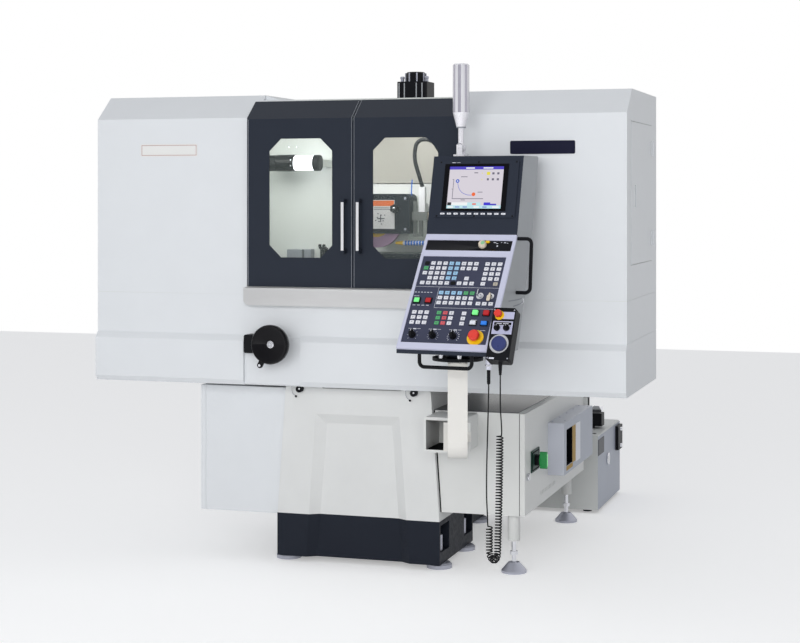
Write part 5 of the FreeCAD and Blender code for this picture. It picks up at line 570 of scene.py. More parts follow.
def dressEnclosure():
    low, high, rim = plates["low"], plates["high"], plates["frame"]
    for side, node in (("left", "casing_left"), ("right", "casing_right")):
        x0, x1 = plates[side]
        finish = "platePaper" if side == "left" else "plateNavy"
        paintFaces(node, finish, [((x0 - 1, -3, low - 1), (x1 + 1, -0.1, high + 1))])
    x0, x1 = plates["left"][0] + 4, plates["left"][1] - 4
    low, high = low + 4, high - 4
    makeBlocks("namePlateRim", [((x0, -2.4, low), (x1, -2, low + rim)), ((x0, -2.4, high - rim), (x1, -2, high)),
                                ((x0, -2.4, low + rim), (x0 + rim, -2, high - rim)),
                                ((x1 - rim, -2.4, low + rim), (x1, -2, high - rim))],
               machine, "plateRed", "machine_frame", 0)
    # The sheet inside the work zone is a greener white than the outside
    room = [((-1079, 1, 1063), (-394, 697, 1757)), ((416, 1, 1063), (1079, 697, 1757)),
            ((-1079, 117, 1063), (-394, 697, 1851)), ((416, 117, 1063), (1079, 697, 1851)),
            ((-396, 80, 1063), (418, 696.5, 1830))]
    for node in ("casing_left", "casing_right", "rear_casing"):
        paintFaces(node, "liningEnamel", room)
    # Rubber seal in the gap between the enclosure and the left cover
    makeBlocks("coverSeal", [((-668, 150, 686), (-302, 162, 706.8))], machine, "matRubber", "machine_frame",
               0.5)
    # Painted shade in the groove beside the left cover and in the groove at the cabinet's front
    paintFaces("left_side_cover", "shadowBlack", [((-350, 117, 150), (-292, 141, 700))])
    paintFaces("electrical_cabinet", "shadowBlack", [((290, 118.2, 200), (350, 122, 620))])
    # Wall ledge and small screws that show through the left window
    makeBlocks("wallLedge", [((-1040, 691, 1516), (-400, 695, 1520))], machine, "liningEnamel", "machine_frame",
               0.3)
    makeTurned("wallScrews", [(0, 0), (3.5, 0), (3.5, 1.5), (2.2, 2.6), (0, 2.6)],
               [((x, 695, 1662), (0, -1, 0)) for x in (-518, -482)], machine, "chromePlate", "machine_frame")
    makeBlocks("junctionBoxes", [((-507, 640, 1130), (-438, 695, 1219)), ((-433, 652, 1140), (-400, 695, 1220))],
               machine, "greyEnamel", "machine_frame", 2)
    makeBlocks("hoseBracket", [((-372, 688, 1150), (-338, 695, 1226)), ((-368, 660, 1222), (-360, 690, 1230)),
                               ((-350, 660, 1222), (-342, 690, 1230)), ((-360, 664, 1180), (-350, 688, 1224))],
               machine, "blackPlastic", "machine_frame", 0.8)
    makeTurned("bracketTaps", [(0, 0), (7, 0), (7, 10), (3, 12), (0, 12)],
               [((x, 664, 1230), (0, 0, 1)) for x in (-364, -346)], machine, "blackPlastic", "machine_frame")


doorTrim = {"front": -22, "low": 1097, "fold": 1752, "strip": 1.2, "left": 16, "right": 26.6, "slope": 37.9,
            "slopeLength": 118}


def trimDoors():
    # Painted highlights along the meeting edges, and inserts on the handles
    for name, body, x, handle in (("leftSeamStrip", "left_door", doorTrim["left"], -9),
                                  ("rightSeamStrip", "right_door", doorTrim["right"], 52)):
        wide, front = doorTrim["strip"], doorTrim["front"]
        bm = bmesh.new()
        addBox(bm, (x, front - 0.4, doorTrim["low"]), (x + wide, front, doorTrim["fold"]))
        slope = Matrix.Translation((x, front, doorTrim["fold"])) @ turned(doorTrim["slope"], "X")
        addBox(bm, (0, 0, 0), (wide, doorTrim["slopeLength"], 0.4), slope)
        makePiece(name, bm, machine, palette["paintedEdgeHighlight"], body)
        makeBlocks(name.replace("Seam", "Handle"), [((handle - 5.5, -58.7, 1241), (handle + 5.5, -58, 1427))],
                   machine, "satinAluminium", body, 0.3)
    # Painted highlight along the folded edge of the left door
    makeBlocks("leftDoorEdgeHighlight", [((-412.5, -22.3, 1098), (-411, -22, 1750))], machine, "paintedEdgeHighlight", "left_door",
               0)


# Wheel head: guard label, washer, coloured nozzle, hose, lamp
guardLabel = {"left": -4, "right": 104, "high": 1432, "header": 22, "front": 244}


def dressWheelHead():
    front = guardLabel["front"]
    left, right, high = (guardLabel[k] for k in ("left", "right", "high"))
    paintFaces("wheel_guard", "platePaper", [((-8, 243, 1317), (108, 245.8, 1436))])
    makeBlocks("labelHeader", [((left, front - 0.4, high - guardLabel["header"]), (right, front, high))], machine,
               "plateOrange", "head", 0)
    marks = []
    for i in range(9):
        angle = math.radians(40 * i)
        reach = 22 if i % 2 else 14
        x, z = 48 + reach * math.cos(angle), 1360 + reach * math.sin(angle)
        marks.append(((x - 3, front - 0.3, z - 1.6), (x + 3, front, z + 1.6)))
    marks += [((46, front - 0.3, 1346), (50, front, 1376)), ((34, front - 0.3, 1358), (62, front, 1362)),
              ((20, front - 0.3, 1396), (96, front, 1398)), ((20, front - 0.3, 1402), (84, front, 1404))]
    makeBlocks("labelDrawing", marks, machine, "printDark", "head", 0)
    makeTurned("knobCap", [(0, 0), (5, 0), (5, 1), (3.5, 2.2), (0, 2.2)], [((111, 220, 1400), (0, -1, 0))], machine,
               "chromePlate", "guard_turn_knob")
    makeTurned("guardScrews", [(0, 0), (5, 0), (5, 2), (3, 3.4), (0, 3.4)],
               [((x, 246, z), (0, -1, 0)) for x, z in ((-118, 1440), (150, 1440), (150, 1318), (-118, 1318))],
               machine, "zincCasting", "head")
    # Blotter washer between the wheel and its flange
    makeTurned("blotter", [(46.4, 0), (60, 0), (60, 0.9), (46.4, 0.9), (46.4, 0)], [((16, 290, 1345), (0, -1, 0))],
               machine, "yellowPlastic", "spindle", steps=48)
    blue = [((x - 4.2, 270, 1250), (x + 4.2, 312, 1276)) for x in range(140, 248, 12)]
    paintFaces("coolant_nozzle", "whitePlastic", [((128, 270, 1250), (250, 312, 1276))])
    paintFaces("coolant_nozzle", "hosePlastic", blue)
    paintFaces("coolant_nozzle", "yellowPlastic", [((90, 270, 1250), (128.5, 312, 1276))])
    paintFaces("coolant_nozzle", "whitePlastic", [((194, 270, 1388), (222, 312, 1487))])
    paintFaces("coolant_nozzle", "hoseRubber", [((100, 200, 1487), (320, 500, 1720)),
                                                ((100, 316, 1340), (320, 500, 1720))])
    paintFaces("spindle_head", "liningEnamel", [((-100, 355, 1255), (135, 645, 1455))])
    makeBlocks("clampCap", [((232, 284, 1354), (247, 302, 1384))], machine, "creamPlastic", "head", 2)
    makeHose("airTube", [(160, 300, 1450), (160, 300, 1476), (162, 298, 1496), (164, 297, 1516)], 2.5, machine,
             palette["bluePlastic"], "head")
    # Lit tube of the work lamp between its screwed caps
    paintFaces("work_lamp", "lampTube", [((-519, 520, 1550), (-353, 600, 1630))])
    paintFaces("work_lamp", "liningEnamel", [((-600, 602, 1560), (-300, 698, 1620))])
    makeTurned("lampCollar", [(31.2, 0), (34.6, 0), (36, 3), (36, 80), (34, 84), (31.2, 84)],
               [((-520, 560, 1590), (1, 0, 0))], machine, "glossBlack", "machine_frame", steps=40)
    screws = []
    for turn in (20, 70, 110, 160):
        across, up = math.sin(math.radians(turn)), math.cos(math.radians(turn))
        screws.append(((-446, 560 - 35 * across, 1590 + 35 * up), (0, -across, up)))
    makeTurned("lampScrews", [(0, 0), (3.2, 0), (3.2, 2), (2, 3), (0, 3)], screws, machine, "chromePlate",
               "machine_frame", steps=12)
    paintFaces("magnetic_chuck", "guardEnamel", [((-200, 190, 1105), (320, 410, 1219.5))])
    paintFaces("z_motor", "housingEnamel", [((-50, 830, 1945.5), (50, 950, 1947))])


handwheelTrim = {"x": -287, "z": 877, "face": -102}


def dressHandwheel():
    x, z, face = (handwheelTrim[k] for k in ("x", "z", "face"))
    makeTurned("centreScrew", [(0, 0), (14, 0), (14, 1.6), (12.5, 2.6), (11, 2.6), (10, 1.4), (5, 1.4), (4, 0.6),
                               (0, 0.6)],
               [((x, face, z), (0, -1, 0))], machine, "chromePlate", "hand_wheel", steps=32)
    makeTurned("crankPinCap", [(0, 0), (5, 0), (5, 1.2), (3.6, 2.2), (0, 2.2)],
               [((x - 43.2, -109, z - 81.2), (0, -1, 0))], machine, "chromePlate", "hand_wheel")
    makeTurned("indexPin", [(0, 0), (4, 0), (4, 26), (7, 27), (7, 33), (5, 35), (0, 35)],
               [((-272, -62, 902), (0.75, -0.55, 0.5))], machine, "blackPlastic", "machine_frame")


# Pedestal, cabinet and cooler
def dressBase():
    for side in (-1, 1):
        x = 236 * side
        makeTurned("studCap" + ("Left" if side < 0 else "Right"), [(0, 0), (3.4, 0), (3.4, 1.2), (0, 1.2)],
                   [((x + 2, 71, 689), (0, -1, 0))], machine, "whitePlastic", "machine_frame")
        makeHose("liftHook" + ("Left" if side < 0 else "Right"),
                 [(x - 34, 84, 706), (x - 34, 82, 688), (x - 31, 79, 672), (x - 24, 78, 664), (x - 17, 78, 660)],
                 1.6, machine, palette["chromePlate"], "machine_frame")
        makeTurned("hookBall" + ("Left" if side < 0 else "Right"),
                   [(0, 0), (3.4, 1.2), (4.8, 4.8), (3.4, 8.4), (0, 9.6)], [((x - 19, 78, 660), (1, 0, -0.4))],
                   machine, "blackPlastic", "machine_frame")
    paintFaces("base_casting", "blackPlastic", [((-252, 60, 670), (-220, 94.5, 704)),
                                                ((220, 60, 670), (252, 94.5, 704))])
    # Sleeves are sprayed with the cabinet; the rods above the cast cups are chromed
    paintFaces("levelling_feet", "chromePlate", [((560, 120, 41), (660, 1280, 124))])


cabinetTrim = {"seam": 645.8, "top": 619}


def dressCabinet():
    top = cabinetTrim["top"]
    makeBlocks("topMat", [((302, 124, top), (640, 1278, top + 2))], machine, "matRubber", "machine_frame",
               0.6)
    x = cabinetTrim["seam"]
    # Painted shade: a dark strip in the seam between the cabinet and its door
    makeBlocks("doorSeamShade", [((x, 117.8, 228), (x + 2, 118, 618))], machine, "shadowBlack", "machine_frame",
               0)
    paintFaces("cabinet_door", "switchPlastic", [((668.2, 214, 374), (674, 354, 464))])
    # Painted shade: a dark line round the switch plate
    makeBlocks("switchRimShade", [((673, 222, 383), (674.2, 346, 387)), ((673, 222, 451), (674.2, 346, 455)),
                             ((673, 222, 387), (674.2, 226, 451)), ((673, 342, 387), (674.2, 346, 451))],
               machine, "shadowBlack", "cabinet_side", 0.4)
    paintFaces("main_switch_handle", "blackPlastic", [((672, 255, 390), (690.9, 315, 445))])
    # Painted highlight: a glowing light-green strip on the switch handle
    makeBlocks("handleGlint", [((719.2, 280, 395), (719.6, 288, 443))], machine, "litGreen", "switch_handle",
               0)
    makeTurned("latchCore", [(0, 0), (6, 0), (6, 2.5), (4.5, 3.4), (0, 3.4)], [((674, 156, 372), (1, 0, 0))], machine,
               "blackPlastic", "cabinet_latch")
    # Cooler: painted shade on its right face and in its intake, the brown filter behind its frame, rivets along the
    # top
    paintFaces("heat_exchanger", "sideShadeEnamel", [((734.5, 520, 318), (736, 1130, 536))])
    paintFaces("heat_exchanger", "shadowBlack", [((712, 571, 352), (734.4, 690, 502))])
    makeBlocks("filterFrame", [((735, 756, 344), (736.6, 850, 502))], machine, "keyWhite", "cabinet_side",
               0.5)
    teeth = [((735, 692, 352 + 12 * i), (736.2, 754, 360 + 12 * i)) for i in range(12)]
    teeth += [((735, 572 + 14 * i, 334), (736.2, 582 + 14 * i, 351)) for i in range(9)]
    makeBlocks("filterMat", teeth + [((735, 690, 350), (735.6, 755, 500))], machine, "filterBrown", "cabinet_side",
               0.3)
    rivets = [((668 + 12, y, 533), (0, 0, 1)) for y in (560, 700, 840, 980, 1100)]
    rivets += [((723, y, 533), (0, 0, 1)) for y in (600, 1080)]
    makeTurned("coolerRivets", [(0, 0), (4.5, 0), (4, 1.6), (2, 2.6), (0, 2.9)], rivets, machine, "zincCasting",
               "cabinet_side", steps=14)


# Coolant tank
def dressTank():
    paintFaces("coolant_tank", "plinthEnamel", [((110, 1430, 10), (710, 2020, 92.5))])
    # Painted shade on the tank's right side
    paintFaces("coolant_tank", "sideShadeEnamel", [((698, 1443, 94), (700, 2020, 351))], facing=(1, 0, 0))
    paintFaces("coolant_tank", "tagGrey", [((699.5, 1448, 260), (702, 1592, 337))])
    paintFaces("coolant_tank", "blackPlastic", [((699.5, 1888, 223), (715.5, 2002, 342)),
                                                ((470, 1600, 357), (680, 1790, 540))])
    paintFaces("coolant_tank", "chromePlate", [((715.5, 1888, 223), (730, 2002, 342)),
                                               ((610, 1735, 357), (660, 1820, 460)),
                                               ((698.5, 1655, 185), (708, 1716, 247))])
    makeTurned("gaugeGlass", [(0, 0), (19, 0), (19, 2.4), (15, 4.4), (0, 5)], [((702.5, 1686, 216), (1, 0, 0))],
               machine, "whitePlastic", "machine_frame", steps=32)
    makeTurned("fittingNuts", [(0, 0), (25, 0), (27, 2), (27, 12), (25, 14), (0, 14)],
               [((636, 1795, 372), (0, 0, 1)), ((636, 1795, 404), (0, 0, 1)), ((636, 1752, 432), (0, -1, 0))],
               machine, "chromePlate", "machine_frame", steps=6)
    makeTurned("lidPlug", [(0, 0), (9, 0), (9, 2), (6, 3), (0, 3)], [((672, 1500, 356), (0, 0, 1))], machine,
               "matRubber", "machine_frame")
    casters = []
    for x, y in ((640, 1560), (640, 1960), (180, 1560), (180, 1960)):
        casters.append(((x, y, 0), (0, 0, 1)))
    makeTurned("tankPads", [(0, 0), (26, 0), (27, 3), (24, 12), (22, 14), (0, 14)], casters, machine, "zincCasting",
               "machine_frame", steps=28)


# Spindle drive motor on the roof
def dressMotor():
    bars = []
    for i in range(8):
        angle = math.radians(22.5 + 45 * i)
        bars.append(((44 * math.cos(angle), 888 + 44 * math.sin(angle), 1946), (0, 0, 1)))
    makeTurned("motorBolts", [(0, 0), (3.6, 0), (3.6, 38), (2.6, 40), (0, 40)], bars, machine, "zincCasting",
               "machine_frame", steps=12)
    makeTurned("motorPlugs", [(0, 0), (8, 0), (8, 14), (10, 15), (10, 22), (7, 25), (0, 25)],
               [((x, 868, 1946), (0, 0, 1)) for x in (-55, 55)], machine, "zincCasting", "machine_frame")
    makeTurned("motorCapPlate", [(0, 0), (30, 0), (30, 0.8), (28, 1.4), (0, 1.4)], [((0, 888, 1988.5), (0, 0, 1))],
               machine, "whitePlastic", "machine_frame", steps=32)
    makeBlocks("motorRibs", [((x, 819, 1860), (x + 5, 820, 1940)) for x in (-58, -34, 20, 46)], machine,
               "housingEnamel", "machine_frame", 0.4)


dressEnclosure()
trimDoors()
dressWheelHead()
dressHandwheel()
dressBase()
dressCabinet()
dressTank()
dressMotor()
print("machine detailed")


# Pendant panel. Places on it are columns of keys counted from its middle, and distances down from its top edge.
keyboard = {"across": 23.6, "down": 20.8, "letters": 124.5, "axes": 248, "modes": 331, "floor": -3}
keyColours = {
    "keySky": [("letters", row, (-2, -1)) for row in range(4)] + [("axes", 0, (-2.5, -1.5, -0.5, 0.5))],
    "keyGreen": [("letters", 1, (-6,)), ("axes", 0, (1.5, 2.5))] + [("modes", row, (-2,)) for row in range(3)],
    "keyRed": [("modes", row, (-1,)) for row in range(3)],
    "keySand": [("letters", 4, (5.8,))],
}
keyRows = {"letters": ((-5, -4, -3, -2, -1, 0, 1, 2, 3.8, 4.8, 5.8), (-6, -5, -4, -3, -2, -1, 0, 1, 2, 3.8, 4.8, 5.8),
                       (-6, -5, -4, -3, -2, -1, 3.8, 4.8, 5.8), (-5, -4, -3, -2, -1, 1, 3.8, 4.8, 5.8),
                       (-6, -5, -4, -3, -2, 0, 1, 2, 3.8, 5.8)),
           "axes": ((-2.5, -1.5, -0.5, 0.5, 1.5, 2.5), (-2.5, -1.5, -0.5, 0.5, 1.5, 2.5),
                    (-2.5, -1.5, -0.5, 0.5, 1.5, 2.5, 3.8, 4.8, 5.8)),
           "modes": ((-6, -5, -4, -2, -1, 0, 2),) * 3}
dials = {"mode_dial": -125.9, "speed_dial": -49.3, "feed_dial": 27.3}
dialRow = 425
stopPlace = (110, -427)


def keyPlace(group, row, column):
    return column * keyboard["across"], -keyboard[group] - row * keyboard["down"]


def around(place, halfWide, halfHigh, low, high):
    x, y = place
    return (x - halfWide, y - halfHigh, low), (x + halfWide, y + halfHigh, high)


def bar(x0, x1, y0, y1, low=-3, high=-2.8):
    # A printed bar; its places up the panel are given as distances down from the top edge
    return (x0, -y1, low), (x1, -y0, high)


def paintPanel():
    floor = keyboard["floor"]
    paintFaces("pendant_panel", "keyFoil", [((-164, -455.5, floor - 0.2), (155, -94.5, floor + 0.1))], panelSpace)
    paintFaces("pendant_panel", "smokedAcrylic", [((-164.5, -70.5, floor - 0.2), (164.5, -24.5, floor + 0.1))],
               panelSpace)
    paintFaces("pendant_panel", "keyWhite", [((-152, -402, -2.9), (152, -115, 0.5))], panelSpace)
    for finish, groups in keyColours.items():
        boxes = [around(keyPlace(group, row, column), 8.4, 6.9, -2.9, 0.5)
                 for group, row, columns in groups for column in columns]
        paintFaces("pendant_panel", finish, boxes, panelSpace)
    paintFaces("pendant_panel", "yellowPlastic", [around(stopPlace, 31, 31, -2.9, 0.2)], panelSpace)
    paintFaces("pendant_panel", "litWhite", [around((89, -369.6), 11, 8, -2.9, 6.5)], panelSpace)
    paintFaces("pendant_panel", "litBlue", [around((130, -369.6), 11, 8, -2.9, 6.5)], panelSpace)
    paintFaces("pendant_housing", "housingEnamel", [((165, -250, 880), (180, 400, 1640)),
                                                    ((-180, -250, 880), (-165, 400, 1640))], pendantSpace)
    paintFaces("pendant_housing", "towerWhite", [((-135, 240, 1598), (-60, 320, 1680))], pendantSpace)


def printKeyMarks():
    # Each cap carries a small print: a short bar and, on every other one, a second below it
    dark = []
    for group, rows in keyRows.items():
        for row, columns in enumerate(rows):
            for i, column in enumerate(columns):
                x, y = keyPlace(group, row, column)
                wide = 2.2 + 0.7 * ((i + row) % 3)
                dark.append(((x - wide, y + 0.2, 0), (x + wide, y + 1.7, 0.15)))
                if (i + row) % 2:
                    dark.append(((x - wide * 0.7, y - 2.8, 0), (x + wide * 0.7, y - 1.6, 0.15)))
    makeBlocks("keyPrint", dark, panelSpace, "printDark", "pendant", 0)


def printPanel():
    lines = [bar(-163, 154, 223, 224), bar(-73, -72, 224, 309.4), bar(-72, 154, 309.4, 310.4)]
    # Small captions: status lights, rows under the two lit caps, one bar above each dial
    lines += [bar(-161 + 12 * i, -154 + 12 * i, 246, 248.5) for i in range(6)]
    lines += [bar(-161, -150, 262, 264), bar(-148, -140, 262, 264)]
    lines += [bar(-156 + 17 * i, -146 + 17 * i, 300, 302.5) for i in range(4)]
    lines += [bar(88, 101, 314, 316), bar(124, 136, 314, 316), bar(78, 100, 355, 357), bar(120, 140, 396, 397.5)]
    for centre in dials.values():
        lines += [bar(centre - 22, centre - 9, 397, 398.4), bar(centre - 5, centre + 8, 396, 400.5),
                  bar(centre + 11, centre + 24, 397, 398.4)]
    makeBlocks("panelPrint", lines, panelSpace, "printWhite", "pendant", 0)
    bm = bmesh.new()
    for centre, reach, count, size in ((dials["mode_dial"], 19, 7, 1.1), (dials["speed_dial"], 19, 11, 0.9),
                                       (dials["feed_dial"], 21, 13, 1.9)):
        for i in range(count):
            turn = -130 + 260 * i / (count - 1)
            place = (Matrix.Translation((centre, -dialRow, -3)) @ turned(-turn, "Z")
                     @ Matrix.Translation((0, reach, 0)))
            addBox(bm, (-size / 2, -2.2, 0), (size / 2, 2.2, 0.25), place)
    makePiece("dialTicks", bm, panelSpace, palette["printWhite"], "pendant")
    for body, centre in dials.items():
        makeBlocks(body + "Line", [((centre - 0.9, 4 - dialRow, 22.3), (centre + 0.9, 12 - dialRow, 22.7))],
                   panelSpace, "printWhite", body, 0)


def ringOf(bm, place, halfWide, halfHigh, border, low, high):
    x, y = place
    left, right, down, top = x - halfWide, x + halfWide, y - halfHigh, y + halfHigh
    for x0, x1, y0, y1 in ((left, right, top - border, top), (left, right, down, down + border),
                           (left, left + border, down, top), (right - border, right, down, top)):
        addBox(bm, (x0, y0, low), (x1, y1, high))


def makePanelPieces():
    # Black bezels around the lit keys, the two lit caps and the second key switch with its fob
    bm = bmesh.new()
    for place in ((89, -328), (130, -328)):
        ringOf(bm, place, 13.5, 12, 2.6, -3, 1.5)
    for place in ((89, -369.6), (130, -369.6)):
        ringOf(bm, place, 13.5, 10, 2.6, -3, 1.5)
    for place in ((-143, -283), (-99, -283)):
        addBox(bm, (place[0] - 13.5, place[1] - 12, -3), (place[0] + 13.5, place[1] + 12, 1.5))
    addPlate(bm, roundedOutline(-150.5, -133, -132.5, -117, 3), -3, -0.4)
    addPlate(bm, roundedOutline(-33, -14, -214.5, -200.5, 3), -3, -0.4)
    makePiece("keyBezels", bm, panelSpace, palette["blackPlastic"], "pendant", 0.8)
    makeBlocks("greenCap", [around((-143, -283), 9.5, 8.5, 1.5, 6)], panelSpace, "litGreen", "pendant",
               1.2)
    makeBlocks("redCap", [around((-99, -283), 9.5, 8.5, 1.5, 6)], panelSpace, "litRed", "pendant", 1.2)
    makeTurned("pulseKnob", [(0, 0), (15, 0), (15, 6), (13.5, 12), (12, 15), (0, 15.6)], [((53, -44, -3), (0, 0, 1))],
               panelSpace, "creamPlastic", "pendant", 0.3, 32)
    makeTurned("pulseKnobDot", [(0, 0), (7.5, 0), (7, 1.2), (0, 1.6)], [((57, -43, 12.6), (0, 0, 1))], panelSpace,
               "paleGreen", "pendant", 0, 24)
    makeBlocks("pulseTab", [((62, -36, -3), (77, -27, 3))], panelSpace, "yellowPlastic", "pendant",
               1.5)
    makeBlocks("stripMarks", [bar(92, 101, 31, 33.5), bar(103, 110, 35, 37), bar(120, 124, 30, 32),
                              bar(131, 139, 31, 34), bar(142, 147, 33, 35), bar(106, 111, 44, 50)],
               panelSpace, "printWhite", "pendant", 0)
    makeTurned("secondSwitch", [(0, 0), (12.5, 0), (12.5, 3), (10, 5), (10, 7), (0, 7)],
               [((130.4, -259, -3), (0, 0, 1))], panelSpace, "chromePlate", "pendant", 0, 32)
    makeTurned("firstSwitchRing", [(10.2, 0), (13, 0), (13, 2), (10.2, 3)], [((90, -258, -3), (0, 0, 1))], panelSpace,
               "chromePlate", "pendant", 0, 32)
    bm = bmesh.new()
    addPlate(bm, roundedOutline(124, 137, -287, -264, 5), 14, 18)
    addBox(bm, (128, -268, 4), (133, -253, 15))
    makePiece("keyFob", bm, panelSpace, palette["creamPlastic"], "pendant", 1)
    makeTurned("switchFaces", [(0, 0), (6, 0), (6, 0.4), (0, 0.4)], [((130.4, -259, 4), (0, 0, 1))],
               panelSpace, "blackPlastic", "pendant")


# Display: a made-up picture of a curve and its soft keys. Places are shares of the screen, right and down.
screen = {"left": -105.5, "top": -40.7, "wide": 211, "high": 158, "floor": 3.6}
screenPatches = [
    ("screenGround", 0, 1, 0, 1), ("screenTitle", 0, 1, 0, 0.07), ("screenWhite", 0.3, 0.46, 0.02, 0.05),
    ("screenWhite", 0.62, 0.8, 0.02, 0.05), ("screenInk", 0.085, 0.095, 0.3, 0.76),
    ("screenInk", 0.065, 0.09, 0.3, 0.31), ("screenInk", 0.065, 0.09, 0.53, 0.54),
    ("screenInk", 0.085, 0.66, 0.755, 0.77), ("screenInk", 0.22, 0.34, 0.235, 0.25),
    ("screenInk", 0.55, 0.64, 0.6, 0.615), ("screenInk", 0.25, 0.33, 0.785, 0.8),
    ("screenInk", 0.46, 0.53, 0.14, 0.16), ("screenYellow", 0.69, 0.75, 0.13, 0.2),
    ("screenInk", 0.79, 0.83, 0.14, 0.19), ("screenInk", 0.88, 0.92, 0.14, 0.19),
    ("screenInk", 0.7, 0.735, 0.28, 0.33), ("screenInk", 0.79, 0.83, 0.28, 0.33),
    ("screenInk", 0.88, 0.92, 0.28, 0.33), ("screenYellow", 0.6, 0.615, 0.15, 0.17),
    ("screenYellow", 0.6, 0.615, 0.3, 0.32), ("screenCyan", 0, 1, 0.92, 1),
    ("screenWhite", 0.09, 0.38, 0.85, 0.92), ("screenBlack", 0.01, 0.08, 0.85, 0.92),
    ("screenCyan", 0.38, 0.62, 0.85, 0.92), ("screenBlue", 0.68, 0.8, 0.85, 0.92),
    ("screenTitle", 0.8, 0.91, 0.88, 0.92), ("screenRed", 0.47, 0.54, 0.87, 0.91),
    ("screenWhite", 0.02, 0.12, 0.94, 0.98), ("screenTitle", 0.16, 0.24, 0.95, 0.97),
    ("screenTitle", 0.3, 0.38, 0.95, 0.97), ("screenWhite", 0.5, 0.6, 0.94, 0.98),
    ("screenTitle", 0.66, 0.74, 0.95, 0.97), ("screenWhite", 0.84, 0.96, 0.94, 0.98),
]
curveShares = ((0.165, 0.345), (0.175, 0.42), (0.19, 0.49), (0.22, 0.56), (0.26, 0.615), (0.31, 0.65), (0.37, 0.675),
               (0.43, 0.68), (0.48, 0.66))


def onScreen(across, down):
    return screen["left"] + across * screen["wide"], screen["top"] - down * screen["high"]


def makeDisplay():
    paintFaces("display_unit", "bezelBlack", [((-124, -208, 3), (124, -31, 8.2))], headSpace)
    paintFaces("display_unit", "screenBlack", [((-106, -200, 3), (106, -40, 3.7))], headSpace)
    groups = {}
    for order, (finish, x0, x1, y0, y1) in enumerate(screenPatches):
        (left, top), (right, low) = onScreen(x0, y0), onScreen(x1, y1)
        height = screen["floor"] + 0.02 * order
        groups.setdefault(finish, []).append(((left, low, height), (right, top, height + 0.02)))
    for finish, blocks in groups.items():
        makeBlocks("picture" + finish[6:], blocks, headSpace, finish, "pendant", 0)
    bm = bmesh.new()
    height = screen["floor"] + 0.8
    points = [onScreen(*share) for share in curveShares]
    for (x0, y0), (x1, y1) in zip(points, points[1:]):
        run, rise = x1 - x0, y1 - y0
        place = Matrix.Translation((x0, y0, height)) @ turned(math.degrees(math.atan2(rise, run)), "Z")
        addBox(bm, (-0.4, -0.9, 0), (math.hypot(run, rise) + 0.4, 0.9, 0.1), place)
    makePiece("pictureCurve", bm, headSpace, palette["screenCurve"], "pendant")
    for name, finish, share in (("pictureStart", "screenDot", curveShares[0]), ("pictureEnd", "screenOrange",
                                                                              curveShares[-1])):
        x, y = onScreen(*share)
        makeTurned(name, [(0, 0), (7, 0), (7, 0.2), (0, 0.2)], [((x, y, height), (0, 0, 1))], headSpace, finish,
                   "pendant", 0, 20)
    makeTurned("pictureStartMark", [(0, 0), (2.6, 0), (2.6, 0.1), (0, 0.1)],
               [((*onScreen(*curveShares[0]), height + 0.2), (0, 0, 1))], headSpace, "screenWhite", "pendant",
               0, 16)
    # Ten soft keys below the screen
    paintFaces("display_unit", "keyWhite", [((-135, -222, 5.2), (135, -214, 8.3))], headSpace)
    makeBlocks("softKeyPrint", [((26.2 * (i - 4.5) - 3, -218.8, 8), (26.2 * (i - 4.5) + 3, -217.4, 8.1))
                                for i in range(10)], headSpace, "printDark", "pendant", 0)
    makeTurned("displayScrews", [(0, 0), (3.4, 0), (3.4, 0.8), (2.2, 1.8), (0, 1.8)],
               [((x, y, 5), (0, 0, 1)) for x in (-141, 5.5, 152) for y in (-24, -226)], headSpace, "blackPlastic",
               "pendant", 0, 16)
    makeBlocks("displayCaption", [((-98, -27, 5), (-84, -25, 5.2)), ((-80, -26.6, 5), (-66, -25.4, 5.2))], headSpace,
               "printWhite", "pendant", 0)


